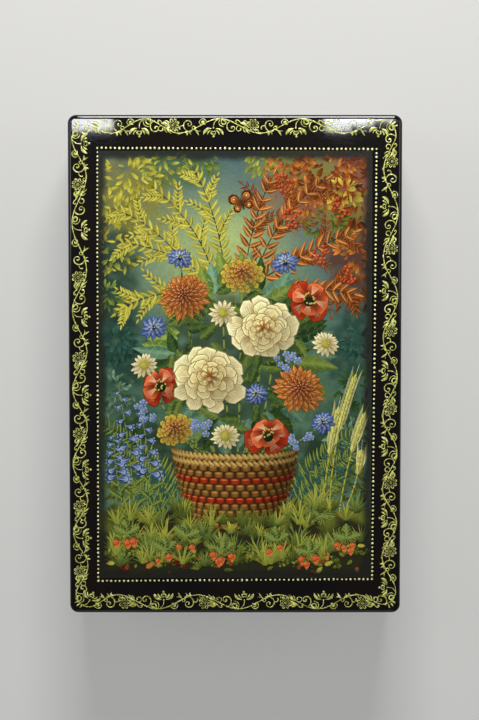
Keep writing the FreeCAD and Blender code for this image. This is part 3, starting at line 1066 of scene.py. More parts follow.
def lay(layer, plateName, base, tip, width, height, dark, light, bend=0.0):
    # Lays one dab from its base to its tip. Places, width and height are in millimetres.
    mesh = plates[plateName].data
    reachX, reachY = picture["halfWidth"] - picture["margin"], picture["halfLength"] - picture["margin"]
    outX, outY = (max(abs(first), abs(second)) + width / 2 for first, second in zip(base, tip))
    if outX > reachX or outY > reachY:
        return
    alongX, alongY, length = wayOf(base, tip)
    start = len(layer["points"])
    for vertex, shade in zip(mesh.vertices, mesh.attributes["shade"].data):
        corner = vertex.co
        forward = corner.y * length
        sideways = corner.x * width + bend * length * corner.y ** 2
        x = min(reachX, max(-reachX, base[0] + alongX * forward + alongY * sideways))
        y = min(reachY, max(-reachY, base[1] + alongY * forward - alongX * sideways))
        z = lidTop - crownDrop(x * mm, y * mm) + (height + corner.z * picture["thick"]) * mm
        layer["points"].append((x * mm, y * mm, z))
        layer["colours"] += fadedAt(mixed(dark, light, shade.value), x, y)
    layer["faces"] += [[start + index for index in face.vertices] for face in mesh.polygons]


def closeLayer(layer):
    print(layer["name"], len(layer["faces"]), "faces")
    thing = addMesh(layer["name"], layer["points"], layer["faces"], layer["colours"])
    finishPiece(thing, layer["name"], "lid", picturePaint)


def polar(angle, reach):
    return math.cos(angle) * reach, math.sin(angle) * reach


def stepFrom(place, angle, reach):
    return place[0] + math.cos(angle) * reach, place[1] + math.sin(angle) * reach


def anyAngle():
    return hand.uniform(0, 6.28)


def tinted(colour, light):
    # Lighter above 1, darker below.
    return tuple(min(1, value * light) for value in colour[:3]) + (1,)


def shadowOf(colour):
    return tinted(colour, 0.42)


def toned(dark, light, lightness=1.0):
    # The two colours that a dab goes between, by their names.
    return tinted(tone[dark], lightness), tinted(tone[light], lightness)


def disc(layer, x, y, width, height, dark, light):
    lay(layer, "disc", (x, y - width / 2), (x, y + width / 2), width, height, dark, light)


# Each kind of flower: the dab it is made of, how many hairs a petal has, how loose it is, its
# colours from the outer ring to the heart, the heart's own colour, size and stamens, and its rings
# of petals as (count, where they start, where they end, width), all in shares of the radius.
flowerKinds = {
    "peony": {
        "dab": "broad", "hairs": 4, "loose": 0.2,
        "dark": ("creamDark", "rust"), "light": ("creamLight", "cream"), "heart": ("yellowLight", 0.0, 0),
        "rings": [(10, 0.30, 1.0, 0.62), (9, 0.22, 0.84, 0.54), (8, 0.14, 0.67, 0.46), (7, 0.08, 0.5, 0.36),
                  (6, 0.04, 0.34, 0.26), (4, 0.0, 0.2, 0.16)],
    },
    "dahlia": {
        "dab": "slender", "hairs": 1, "loose": 0.08,
        "dark": ("rustDark", "redDark"), "light": ("rustLight", "rust"), "heart": ("rustLight", 0.0, 0),
        "rings": [(20, 0.36, 1.0, 0.22), (18, 0.28, 0.86, 0.21), (16, 0.22, 0.72, 0.19),
                  (14, 0.15, 0.58, 0.16), (11, 0.08, 0.43, 0.13), (8, 0.03, 0.28, 0.10),
                  (5, 0.0, 0.15, 0.08)],
    },
    "marigold": {
        "dab": "broad", "hairs": 1, "loose": 0.1,
        "dark": ("rust", "rustDark"), "light": ("yellow", "rustLight"), "heart": ("yellowLight", 0.0, 0),
        "rings": [(15, 0.5, 1.0, 0.30), (14, 0.4, 0.86, 0.28), (12, 0.3, 0.7, 0.26), (10, 0.2, 0.54, 0.22),
                  (8, 0.1, 0.38, 0.18), (6, 0.02, 0.22, 0.14)],
    },
    "poppy": {
        "dab": "broad", "hairs": 7, "loose": 0.12,
        "dark": ("redDark", "redDark"), "light": ("red", "redLight"), "heart": ("shade", 0.22, 14),
        "rings": [(4, 0.0, 1.0, 1.15), (4, 0.0, 0.82, 0.95)],
    },
    "daisy": {
        "dab": "slender", "hairs": 0, "loose": 0.08,
        "dark": ("creamDark", "creamDark"), "light": ("creamLight", "creamLight"),
        "heart": ("yellow", 0.30, 9),
        "rings": [(14, 0.2, 1.0, 0.27), (12, 0.2, 0.86, 0.22)],
    },
    "cornflower": {
        "dab": "slender", "hairs": 1, "loose": 0.12,
        "dark": ("blueDark", "blueDark"), "light": ("blue", "blueLight"), "heart": ("blueDark", 0.16, 5),
        "rings": [(12, 0.3, 1.0, 0.3), (10, 0.2, 0.74, 0.24), (7, 0.05, 0.48, 0.16)],
    },
    "forgetMeNot": {
        "dab": "broad", "hairs": 0, "loose": 0.05,
        "dark": ("blue", "blue"), "light": ("blueLight", "blueLight"), "heart": ("yellow", 0.26, 0),
        "rings": [(5, 0.12, 1.0, 0.85)],
    },
}
petalPaint = {
    "step": 0.0016,  # how much higher each dab of a flower lies than the one before
    "nod": 0.9,  # how far the heart has moved back, as a share of what the squash leaves over
    "facing": 0.26,  # how much lighter the petals are that face the light
    "uneven": 0.08,
    "hair": (0.13, 0.007),  # how wide its hairs are, and how much wider per millimetre of radius
    "rim": (0.12, 0.014),  # and the dark line round each petal
}


def flower(layer, kind, x, y, radius, height, turned=0.0, squash=0.88):
    # A flower seen a little from the side: squash narrows it across the way it is turned.
    facts = flowerKinds[kind]
    dab, rings, hairs, loose = facts["dab"], facts["rings"], facts["hairs"], facts["loose"]
    rim, hairWidth = (thin + more * radius for thin, more in (petalPaint["rim"], petalPaint["hair"]))
    nod = 0.0

    def at(angle, reach):
        u, v = polar(angle, reach * radius)
        v = v * squash + nod
        cosine, sine = polar(turned, 1)
        return x + u * cosine - v * sine, y + u * sine + v * cosine

    for ring, (count, inner, outer, width) in enumerate(rings):
        share = ring / max(1, len(rings) - 1)
        dark, light = (
            mixed(tone[first], tone[last], share) for first, last in (facts["dark"], facts["light"]))
        nod = (1 - squash) * radius * share * petalPaint["nod"]
        start = hand.uniform(0, fullTurn)
        order = list(range(count))
        hand.shuffle(order)
        for petal in order:
            angle = start + fullTurn * petal / count + hand.uniform(-1.0, 1.0) * loose
            reach = outer * (1 + hand.uniform(-1.0, 0.5) * loose)
            facing = 1 + petalPaint["facing"] * math.cos(angle + turned - picture["lightFrom"])
            facing += hand.uniform(-petalPaint["uneven"], petalPaint["uneven"])
            bend = hand.uniform(-1.2, 1.2) * loose
            wide = width * radius * (1 + hand.uniform(-1.2, 1.2) * loose)
            foot = at(angle, inner)
            lay(layer, dab, foot, at(angle, reach + rim / radius), wide + 1.6 * rim, height,
                shadowOf(dark), shadowOf(mixed(dark, light, 0.5)), bend)
            lay(layer, dab, foot, at(angle, reach), wide, height + petalPaint["step"] / 2,
                tinted(dark, facing), tinted(light, facing), bend)
            height += petalPaint["step"]
            for hair in range(hairs):
                spread = width * (0.12 if hairs == 1 else 0.42 * (hair / (hairs - 1) - 0.5))
                lay(layer, "hair", at(angle + spread * 0.6, inner + 0.3 * (reach - inner)),
                    at(angle + spread / max(reach, 0.3), reach * hand.uniform(0.86, 0.95)), hairWidth, height,
                    tinted(light, facing * 0.9), tinted(mixed(light, tone["hair"], 0.55), facing), bend)
            height += petalPaint["step"] / 2
    heartColour, heartSize, stamens = facts["heart"]
    if heartSize:
        heart = tone[heartColour]
        disc(layer, x, y, 2 * heartSize * radius, height, tinted(heart, 0.45), heart)
    for stamen in range(stamens):
        angle = fullTurn * stamen / stamens + hand.uniform(-0.2, 0.2)
        spot = at(angle, heartSize * hand.uniform(0.6, 1.35))
        disc(layer, *spot, 0.07 * radius + 0.2, height + petalPaint["step"],
             *toned("yellowDark", "yellowLight"))


def veinedLeaf(layer, base, tip, width, height, dark, light, bend=0.0, veins=4):
    lay(layer, "leaf", base, tip, width, height, dark, light, bend)
    alongX, alongY, length = wayOf(base, tip)
    veinColour = mixed(tinted(light, 1.25), tone["hair"], 0.08)
    for vein in range(veins):
        share = 0.16 + 0.66 * vein / max(1, veins - 1)
        forward, drift = length * share, bend * length * share ** 2
        root = (base[0] + alongX * forward + alongY * drift, base[1] + alongY * forward - alongX * drift)
        reach = 0.38 * width * math.sin(math.pi * (share + 0.12)) + 0.2
        for side in (-1, 1):
            end = (root[0] + (alongX * 0.9 + alongY * side) * reach,
                   root[1] + (alongY * 0.9 - alongX * side) * reach)
            lay(layer, "hair", root, end, 0.16, height + 0.003, light, veinColour, 0.05 * side)


def alongBranch(branch, share):
    # A place on a branch, which is its start, its bow and its end, and the direction there.
    back = 1 - share
    place = tuple(back * back * start + 2 * back * share * bow + share * share * end
                  for start, bow, end in zip(*branch))
    wayX, wayY = (2 * back * (bow - start) + 2 * share * (end - bow) for start, bow, end in zip(*branch))
    return place, math.atan2(wayY, wayX)


def drawStem(layer, branch, pieces, overlap, width, taper, height, dark, light):
    # A stem in short strokes that overlap, each thinner than the last by the taper.
    for piece in range(pieces):
        first, _ = alongBranch(branch, piece / pieces)
        second, _ = alongBranch(branch, (piece + overlap) / pieces)
        lay(layer, "strap", first, second, width - taper * piece, height, dark, light)


sprays = {
    "stem": (12, 1.25, 0.55, 0.03),  # strokes, how far each overlaps the next, width, taper
    "firstPair": 0.12,  # how far along the branch its leaves begin
    "shorter": 0.45,  # how much shorter the leaves are at its tip, and how much narrower
    "narrower": 0.4,
    "bend": 0.18,
    "midrib": 0.15,
}


def spray(layer, branch, pairs, leafLength, leafWidth, height, colours, spread):
    # A branch with leaves in pairs and one at its tip. Its colours are dark, light and the midribs'.
    dark, light, hairColour = colours
    drawStem(layer, branch, *sprays["stem"], height, tinted(tone["twig"], 0.6), tone["twig"])
    for pair in range(pairs + 1):
        share = sprays["firstPair"] + (1 - sprays["firstPair"]) * pair / pairs
        place, way = alongBranch(branch, share)
        size = leafLength * (1 - sprays["shorter"] * share) * hand.uniform(0.85, 1.15)
        leafHeight = height + 0.002 * (pair % 4) + 0.003
        for side in ((-1, 1) if pair < pairs else (0,)):
            angle = way + side * spread * hand.uniform(0.8, 1.2)
            lightness = hand.uniform(0.72, 1.22)
            lit, bend = tinted(light, lightness), sprays["bend"] * side
            lay(layer, "leaf", place, stepFrom(place, angle, size),
                leafWidth * (1 - sprays["narrower"] * share), leafHeight, tinted(dark, lightness), lit, bend)
            lay(layer, "hair", place, stepFrom(place, angle, size * 0.9), sprays["midrib"],
                leafHeight + 0.003, lit, hairColour, bend)


def leafCloud(layer, x, y, radius, count, length, height, dark, light, hang=0.35):
    # A rounded mass of foliage: dark leaves first, lighter ones over them on the side of the light.
    glowX, glowY = polar(picture["lightFrom"], 1)
    for index in range(count):
        u, v = polar(hand.uniform(0, fullTurn), math.sqrt(hand.random()))
        v *= 0.85
        share = index / count
        lean = math.atan2(v - hang, u) + hand.uniform(-1.1, 1.1)
        size = length * hand.uniform(0.75, 1.2)
        base = (x + u * radius, y + v * radius)
        lightness = 0.5 + 0.65 * share + 0.3 * (u * glowX + v * glowY) + hand.uniform(-0.12, 0.12)
        lay(layer, "slender", base, stepFrom(base, lean, size), size * hand.uniform(0.3, 0.42),
            height + 0.03 * share, tinted(dark, lightness), tinted(light, lightness),
            hand.uniform(-0.25, 0.25))


tallStems = {
    # each stem's start, bow and end
    "bells": [((-42, -62), (-44, -36), (-49, -8)), ((-36, -62), (-35, -40), (-40, -17)),
              ((-47, -60), (-51, -44), (-51, -28))],
    "wheat": [((40, -62), (40, -34), (50, -6)), ((44, -62), (47, -40), (54, -22)),
              ((37, -62), (38, -44), (43, -20)), ((47, -60), (52, -48), (53, -38))],
    "bellStem": (14, 1.2, 0.7, 0.03),  # strokes, overlap, width, taper
    "wheatStem": (12, 1.2, 0.55, 0),
    "bellCount": 12,
    "bellSize": 4.4,
    "bellsFrom": 0.38,  # how far up its stem the lowest one hangs
    "bellTurn": 1.7,  # how far it turns away from its stem
    "bellSag": 0.25,  # how much of its size it hangs by
    "lobeTurn": 0.85,
    "leaves": 5,
    "leafSize": (7, 1.9),
    "leafTurn": 0.9,
    "grains": 14,  # pairs of them, and one more at the tip
    "grainSize": (3.1, 1.35),
    "grainTurn": 0.42,
    "grainsFrom": 0.62,
    "beard": 4.5,
}


def bellSpire(layer, branch, height):
    # A stem of bellflowers, open below and in bud towards the tip.
    green, blue = toned("leafDark", "leafLight"), toned("blueDark", "blueLight")
    leafLength, leafWidth = tallStems["leafSize"]
    lowest = tallStems["bellsFrom"]
    drawStem(layer, branch, *tallStems["bellStem"], height, *green)
    for leaf in range(tallStems["leaves"]):
        place, way = alongBranch(branch, 0.05 + 0.08 * leaf)
        tip = stepFrom(place, way + tallStems["leafTurn"] * (1 if leaf % 2 else -1), leafLength)
        veinedLeaf(layer, place, tip, leafWidth, height + 0.003, *green, 0.15, 0)
    for bell in range(tallStems["bellCount"]):
        share = bell / tallStems["bellCount"]
        place, way = alongBranch(branch, lowest + (1 - lowest) * share)
        size = tallStems["bellSize"] * (1.1 - 0.7 * share)
        angle = way + tallStems["bellTurn"] * (1 if bell % 2 else -1) * hand.uniform(0.85, 1.1)
        mouthX, mouthY = stepFrom(place, angle, size)
        mouth = (mouthX, mouthY - tallStems["bellSag"] * size)
        sink = math.atan2(mouth[1] - place[1], mouth[0] - place[0])
        root = stepFrom(place, sink, size * 0.7)
        for lobe in (-1, 1, 0):
            tip = stepFrom(root, sink + tallStems["lobeTurn"] * lobe, size * 0.62)
            lay(layer, "leaf", root, tip, size * 0.34, height + 0.005 + 0.001 * abs(lobe), blue[0],
                tinted(blue[1], 1.05))
        inner = stepFrom(place, sink, size * 0.92)
        lay(layer, "broad", place, mouth, size * 0.8, height + 0.008, shadowOf(blue[0]), blue[0])
        lay(layer, "broad", place, inner, size * 0.62, height + 0.010, *blue)
        lay(layer, "hair", place, inner, 0.3, height + 0.012, tone["blue"], tinted(blue[1], 1.15), 0.12)


def wheatEar(layer, branch, height):
    # An ear of bearded wheat: grains in pairs and one at its tip.
    grains, lowest = tallStems["grains"], tallStems["grainsFrom"]
    grainLength, grainWidth = tallStems["grainSize"]
    drawStem(layer, branch, *tallStems["wheatStem"], height, *toned("yellowDark", "yellow"))
    for grain in range(grains + 1):
        place, way = alongBranch(branch, lowest + (1 - lowest) * grain / grains)
        for side in ((-1, 1) if grain < grains else (0,)):
            angle = way + tallStems["grainTurn"] * side
            lightness = hand.uniform(0.8, 1.12) + 0.1 * side
            tip = stepFrom(place, angle, grainLength)
            lay(layer, "hair", tip, stepFrom(tip, angle - 0.2 * side, tallStems["beard"]), 0.16,
                height + 0.002, *toned("yellow", "creamLight"))
            lay(layer, "leaf", place, tip, grainWidth, height + 0.004 + 0.002 * (grain % 3),
                *toned("yellowDark", "yellowLight", lightness), 0.1 * side)


def paintTallStems():
    layer = newLayer("picture_stems")
    for branch in tallStems["bells"]:
        bellSpire(layer, branch, levels["tallStems"])
    for branch in tallStems["wheat"]:
        wheatEar(layer, branch, levels["tallStems"])
    closeLayer(layer)


clouds = [  # x, y, radius, leaves, leaf length, dark, light
    (-44, 78, 11, 90, 3.6, "yellowDark", "yellow"), (-30, 84, 9, 70, 3.4, "leaf", "yellow"),
    (-52, 64, 8, 70, 3.6, "yellowDark", "yellow"), (-50, 46, 8, 60, 3.4, "leaf", "yellow"),
    (-14, 86, 7, 50, 3.0, "leaf", "leafLight"), (-53, 28, 6, 46, 3.2, "leaf", "leafLight"),
    (40, 80, 13, 120, 4.0, "rustDark", "rust"), (52, 66, 9, 80, 4.0, "rustDark", "rust"),
    (22, 86, 9, 70, 3.6, "rustDark", "rustLight"), (52, 48, 8, 70, 3.8, "rustDark", "rustLight"),
    (50, 30, 8, 60, 3.6, "rustDark", "rust"), (30, 70, 8, 60, 3.6, "rustDark", "rustLight"),
    (38, 60, 8, 60, 3.4, "leafDark", "moss"), (48, 85, 8, 70, 3.6, "rustDark", "rustLight"),
    (10, 86, 6, 46, 3.0, "moss", "mossLight"), (46, 72, 7, 56, 3.8, "rust", "yellow"),
    (-50, 8, 8, 70, 3.6, "tealDark", "teal"), (-52, -12, 8, 70, 3.8, "tealDark", "tealLight"),
    (-47, -32, 9, 70, 3.8, "leafDark", "leaf"), (52, 10, 7, 60, 3.6, "tealDark", "teal"),
    (52, -10, 8, 70, 3.8, "leafDark", "leaf"), (48, -32, 9, 70, 3.8, "tealDark", "tealLight"),
    (-50, -50, 8, 70, 3.6, "leafDark", "moss"), (51, -50, 8, 70, 3.6, "leafDark", "moss"),
]


def paintClouds():
    layer = newLayer("picture_thickets")
    for x, y, radius, count, length, dark, light in clouds:
        leafCloud(layer, x, y, radius, count, length, levels["thickets"], tone[dark], tone[light])
    closeLayer(layer)


boughs = [
    {
        "branches": [  # start, bow, end
            ((-8, 34), (-14, 60), (-36, 76)), ((-8, 34), (-26, 50), (-50, 52)),
            ((-10, 30), (-34, 34), (-50, 22)), ((-4, 36), (-6, 62), (-18, 84)),
            ((-12, 30), (-30, 60), (-52, 66)),
        ],
        "leaves": (13, 6.2, 2.3),  # pairs, length, width
        "colours": ("yellowDark", "yellow", "yellowLight"),
        "spread": 0.9,
        "twigs": [0.35, 0.51, 0.67, 0.83],  # where they leave the branch
        "twigTurn": 0.7,
        "twigBow": 0.7,  # how far its first half already turns that way
        "twigReach": 15,
        "twigLeaves": (6, 4.2, 1.7),
        "twigColours": ("yellowDark", "yellow", "yellowLight"),
    },
    {
        "branches": [
            ((8, 34), (14, 62), (38, 78)), ((8, 34), (28, 48), (50, 56)), ((10, 30), (34, 34), (50, 30)),
            ((4, 36), (6, 60), (16, 80)),
        ],
        "leaves": (10, 8.0, 2.7),
        "colours": ("rustDark", "rustLight", "cream"),
        "spread": 1.0,
        "twigs": [0.4, 0.6, 0.8],
        "twigTurn": 0.75,
        "twigBow": 0,
        "twigReach": 16,
        "twigLeaves": (7, 5.4, 1.8),
        "twigColours": ("rustDark", "rust", "rustLight"),
    },
]
berryClusters = {
    "places": [(24, 62), (36, 46), (43, 66), (20, 76), (47, 38)],
    "count": 22,
    "size": 1.5,
    "spread": 4.2,
}


def paintBough(layer, bough, branch):
    for twig, share in enumerate(bough["twigs"]):
        place, way = alongBranch(branch, share)
        turned = bough["twigTurn"] if twig % 2 else -bough["twigTurn"]
        reach = bough["twigReach"] - 2 * twig
        twigBranch = (place, stepFrom(place, way + turned * bough["twigBow"], reach * 0.5),
                      stepFrom(place, way + turned, reach))
        spray(layer, twigBranch, *bough["twigLeaves"], levels["twigs"] + 0.002 * twig,
              [tone[name] for name in bough["twigColours"]], bough["spread"])
    spray(layer, branch, *bough["leaves"], levels["boughs"], [tone[name] for name in bough["colours"]],
          bough["spread"])


def paintBerries(layer, x, y):
    for berry in range(berryClusters["count"]):
        u, v = polar(anyAngle(), math.sqrt(hand.random()) * berryClusters["spread"])
        disc(layer, x + u, y + v, berryClusters["size"] * hand.uniform(0.85, 1.15),
             levels["berries"] + berry * 0.001, *toned("redDark", "redLight"))


def paintSprays():
    layer = newLayer("picture_sprays")
    for bough in boughs:
        for branch in bough["branches"]:
            paintBough(layer, bough, branch)
    for x, y in berryClusters["places"]:
        paintBerries(layer, x, y)
    closeLayer(layer)


bouquet = [  # kind, x, y, radius, height, turned, squash
    ("cornflower", -34, 16, 6.0, 0.170, 0.3, 0.85), ("cornflower", 21, 43, 6.0, 0.170, 0.2, 0.8),
    ("cornflower", -23, 45, 5.6, 0.170, -0.3, 0.8), ("cornflower", 37, -24, 5.6, 0.170, 0.5, 0.85),
    ("marigold", 3, 38, 9.5, 0.172, 0.1, 0.78), ("dahlia", -21, 29, 11.5, 0.172, 0.5, 0.85),
    ("poppy", 31, 27, 9.5, 0.176, -0.6, 0.85), ("daisy", -38, 0, 6.0, 0.176, 0.4, 0.85),
    ("daisy", 38, 9, 6.0, 0.176, -0.4, 0.85), ("poppy", -31, -9, 9.0, 0.180, 0.7, 0.85),
    ("dahlia", 27, -10, 11.5, 0.182, -0.4, 0.88), ("marigold", -25, -27, 8.5, 0.182, 0.4, 0.82),
    ("peony", 12, 15, 14.5, 0.190, 0.2, 0.9), ("daisy", -5, 22, 6.2, 0.196, 0.1, 0.9),
    ("peony", -11, -5, 16.0, 0.204, -0.3, 0.92), ("poppy", 14, -30, 9.5, 0.196, 0.2, 0.78),
    ("cornflower", 9, -12, 5.2, 0.200, 0.1, 0.9), ("daisy", -4, -30, 6.5, 0.214, 0.0, 0.82),
]
smallFlowers = {
    "places": [(-14, -27), (28, -31), (-38, -20), (22, 2)],
    "count": 9,
    "spread": 4.6,
    "radius": (1.3, 1.8),
}
foliage = {
    "middle": (0, 4),
    "stem": (14, 1.2),  # strokes, overlap
    "gather": (0.4, -37),  # how near to the middle the stems gather, and at what height
    "ring": (46, 25, 27),  # the large leaves in a ring: how many, and how wide and tall it is
    "ringLength": (13, 19),
    "ringWidth": (5.5, 8),
    "ringColours": (("leafDark", "leaf"), ("teal", "tealLight"), ("leaf", "leafLight")),
    "filling": (70, 28, 32),  # the smaller ones all over
    "fillingLength": (7, 11),
    "fillingWidth": (3.5, 5.5),
}


def paintFoliage():
    layer = newLayer("picture_leaves")
    middleX, middleY = foliage["middle"]
    gather, low = foliage["gather"]
    for _, x, y, radius, _, _, _ in bouquet:
        stem = ((x * gather, low), (x * 0.75, (y + low) * 0.35 - 12), (x, y))
        drawStem(layer, stem, *foliage["stem"], 0.6 + 0.03 * radius, 0, levels["stems"],
                 *toned("leafDark", "leafLight"))
    count, wide, tall = foliage["ring"]
    for index in range(count):
        angle = fullTurn * index / count + hand.uniform(-0.06, 0.06)
        base = (middleX + wide * math.cos(angle), middleY + tall * math.sin(angle))
        length = hand.uniform(*foliage["ringLength"])
        tip = stepFrom(base, angle + hand.uniform(-0.4, 0.4), length)
        dark, light = hand.choice(foliage["ringColours"])
        lightness = hand.uniform(0.75, 1.05) + 0.25 * math.cos(angle - picture["lightFrom"])
        veinedLeaf(layer, base, tip, hand.uniform(*foliage["ringWidth"]),
                   levels["ringLeaves"] + 0.003 * (index % 8), *toned(dark, light, lightness),
                   hand.uniform(-0.2, 0.2))
    count, wide, tall = foliage["filling"]
    for index in range(count):
        angle, reach = anyAngle(), math.sqrt(hand.random())
        base = (middleX + wide * reach * math.cos(angle), middleY + tall * reach * math.sin(angle))
        lean = anyAngle()
        tip = stepFrom(base, lean, hand.uniform(*foliage["fillingLength"]))
        veinedLeaf(layer, base, tip, hand.uniform(*foliage["fillingWidth"]),
                   levels["fillingLeaves"] + 0.002 * (index % 6), tone["leafDark"],
                   mixed(tone["leafLight"], tone["leaf"], hand.uniform(0.3, 1.0)), hand.uniform(-0.2, 0.2), 3)
    closeLayer(layer)


def paintBouquet():
    layer = newLayer("picture_flowers")
    for bloom in bouquet:
        flower(layer, *bloom)
    for x, y in smallFlowers["places"]:
        for blossom in range(smallFlowers["count"]):
            u, v = polar(anyAngle(), math.sqrt(hand.random()) * smallFlowers["spread"])
            flower(layer, "forgetMeNot", x + u, y + v, hand.uniform(*smallFlowers["radius"]),
                   levels["smallFlowers"] + 0.001 * blossom)
    closeLayer(layer)


basket = {
    "topY": -36, "lowY": -66, "topHalf": 26, "lowHalf": 17,
    "belly": 2.2,  # how far its sides swell
    "sag": 3.4,  # how much lower its weave runs in the middle
    "rows": 11,
    "strands": 17,  # uprights from its middle to one side
    "uprightWidth": 2.2,
    "strandWidth": 2.5,
    "strandReach": 1.75,  # how far one strand runs, in steps of the uprights
    "leastReach": 0.03,  # anything shorter at the sides is left out
    "shineWidth": 0.22,
    "dyedRows": (3, 6),
    "rims": ((-0.03, 1.7), (0.07, 1.2)),  # where each braid runs and how wide its strands are
    "rimStrands": 34,
}


def onBasket(across, share):
    # A place on the basket, from -1 to 1 across and 0 to 1 down. The weave runs round it, so it sags
    # towards the middle and crowds at the sides.
    straight = basket["topHalf"] + (basket["lowHalf"] - basket["topHalf"]) * share
    half = straight + basket["belly"] * math.sin(math.pi * share)
    down = (basket["topY"] - basket["lowY"]) * share + basket["sag"] * math.cos(across * math.pi / 2)
    return half * math.sin(across * math.pi / 2), basket["topY"] - down


def paintBasket():
    layer = newLayer("picture_basket")
    strands, height = basket["strands"], levels["basket"]
    for index in range(strands * 2 + 1):
        across = -1 + index / strands
        lit = 0.5 + 0.5 * math.cos((across + 0.4) * 2)
        lay(layer, "strap", onBasket(across, -0.02), onBasket(across, 1.02), basket["uprightWidth"], height,
            tinted(tone["wickerDark"], 0.5 + 0.3 * lit), tinted(tone["wickerDark"], 0.7 + 0.5 * lit))
    for row in range(basket["rows"]):
        share = (row + 0.5) / basket["rows"]
        for index in range(strands + 1):
            across = -1 + (2 * index + row % 2 - 0.9) / strands
            reach = min(1, across + basket["strandReach"] / strands)
            across = max(-1, across)
            if reach - across < basket["leastReach"]:
                continue
            lit = 0.35 + 0.75 * max(0, math.cos((across + 0.35) * 1.7)) * hand.uniform(0.85, 1.15)
            dark, light = tinted(tone["wickerDark"], lit), tinted(tone["wicker"], lit * 1.25)
            if row in basket["dyedRows"]:
                dark, light = toned("redDark", "red", lit)
            lay(layer, "strap", onBasket(across, share), onBasket(reach, share), basket["strandWidth"],
                height + 0.012, dark, light)
            lay(layer, "hair", onBasket(across + 0.012, share - 0.02), onBasket(reach - 0.012, share - 0.02),
                basket["shineWidth"], height + 0.018, tinted(tone["wicker"], lit),
                tinted(tone["wickerLight"], lit * 1.1))
    for share, width in basket["rims"]:
        for index in range(basket["rimStrands"]):
            across = -1.02 + 2.04 * index / basket["rimStrands"]
            lit = 0.45 + 0.75 * max(0, math.cos((across + 0.35) * 1.6))
            lay(layer, "strap", onBasket(across, share - 0.035), onBasket(across + 0.085, share + 0.045),
                width, height + 0.022 + 0.0006 * index, *toned("wickerDark", "wickerLight", lit))
    closeLayer(layer)


ferns = {
    "fronds": 7,  # on each side
    "pairs": 26,
    "leafSize": (7.0, 1.5),
    "spread": 1.15,
    "foot": (22, -60, 2, -0.8),  # where the first frond has it, and how far each next one moves it
    "bow": (32, -36, 1, -4),
    "tip": (56, -24, -3.2, -6.5),
    "colours": (("leafDark", "leafLight"), ("tealDark", "teal")),
}
grass = {
    "tufts": 96,
    "feet": (-59, -85, 0.8),  # the highest and lowest foot of a tuft, and the power that crowds them down
    "reach": 54,  # how far they stand to either side
    "size": (5.5, 10.5),
    "blades": 15,
    "bladeWidth": (0.5, 0.95),
    "fan": 0.95,
    "colours": (("leafDark", "moss"), ("leafDark", "leafLight"), ("moss", "mossLight"), ("leaf", "yellow")),
    "clearHalf": basket["lowHalf"] + 2,  # tufts in front of the basket's foot stand lower
    "clearY": -67,
    "clearDrop": 7,
}


def paintFerns():
    layer = newLayer("picture_ferns")
    for side in (-1, 1):
        for frond in range(ferns["fronds"]):
            foot, bow, (tipX, tipY) = (
                (side * (x + frond * stepX), y + frond * stepY)
                for x, y, stepX, stepY in (ferns["foot"], ferns["bow"], ferns["tip"]))
            dark, light = toned(*ferns["colours"][frond % 2])
            spray(layer, (foot, bow, (tipX, tipY + hand.uniform(-2, 2))), ferns["pairs"], *ferns["leafSize"],
                  levels["ferns"] + 0.003 * frond, (dark, light, tinted(light, 1.2)), ferns["spread"])
    closeLayer(layer)


def paintGrass():
    layer = newLayer("picture_grass")
    highest, lowest, crowding = grass["feet"]
    reach = grass["reach"]
    places = [(highest + (lowest - highest) * hand.random() ** crowding, hand.uniform(-reach, reach))
              for _ in range(grass["tufts"])]
    for index, (low, x) in enumerate(sorted(places, reverse=True)):
        low += lumpy(x, 0, (13, 4, 2.5))
        if abs(x) < grass["clearHalf"] and low > grass["clearY"]:
            low -= grass["clearDrop"]
        size = hand.uniform(*grass["size"])
        dark, light = hand.choice(grass["colours"])
        height = levels["grass"] + 0.034 * index / grass["tufts"]
        for blade in range(grass["blades"]):
            share = blade / grass["blades"]
            fan = grass["fan"] * (1 - share) * (-1 if blade % 2 else 1) + hand.uniform(-0.16, 0.16)
            length = size * (0.75 + 0.35 * share) * hand.uniform(0.8, 1.1)
            tip = (x + math.sin(fan) * length, low + math.cos(fan) * length)
            lightness = 0.45 + 0.75 * share * hand.uniform(0.75, 1.1)
            lay(layer, "blade", (x + hand.uniform(-0.8, 0.8), low), tip, hand.uniform(*grass["bladeWidth"]),
                height + 0.0012 * blade, *toned(dark, light, lightness), fan * 0.28)
    closeLayer(layer)


bank = {
    "mounds": [  # x, y, radius, dabs
        (-44, -80, 12, 120), (-20, -84, 13, 130), (8, -82, 12, 120), (32, -84, 13, 130), (50, -79, 7, 60),
    ],
    "mossSize": (0.8, 1.7),
    "fallenLeaves": 46,
    "fallenReach": 52,  # how far they lie to either side
    "fallenHeights": (-73, -88, 0.7),  # the highest and lowest of them, and the power that crowds them down
    "fallenSize": (2.4, 5.0),
    "fallenColours": ("rust", "yellow", "rustLight", "redDark", "moss"),
    "berryPlants": [  # x, y, fruits, their size
        (-46, -71, 3, 3.5), (-30, -78, 2, 3.0), (-21, -72, 2, 2.7), (-6, -78, 4, 3.3), (17, -74, 2, 2.8),
        (31, -79, 3, 3.7), (47, -73, 4, 3.2),
    ],
    "berryLeaf": (6.5, 5.0),
    "berryReach": (3.6, 6.2),  # how far the fruit hang from the plant's middle
    "seeds": 11,
    "seedTurn": 2.4,  # from each seed to the next, as in a sunflower
    "seedSize": 0.26,
    "sepals": 5,
    "butterfly": (3, 68, 6.2, 1.9),  # x, y, its size and which way it flies
}


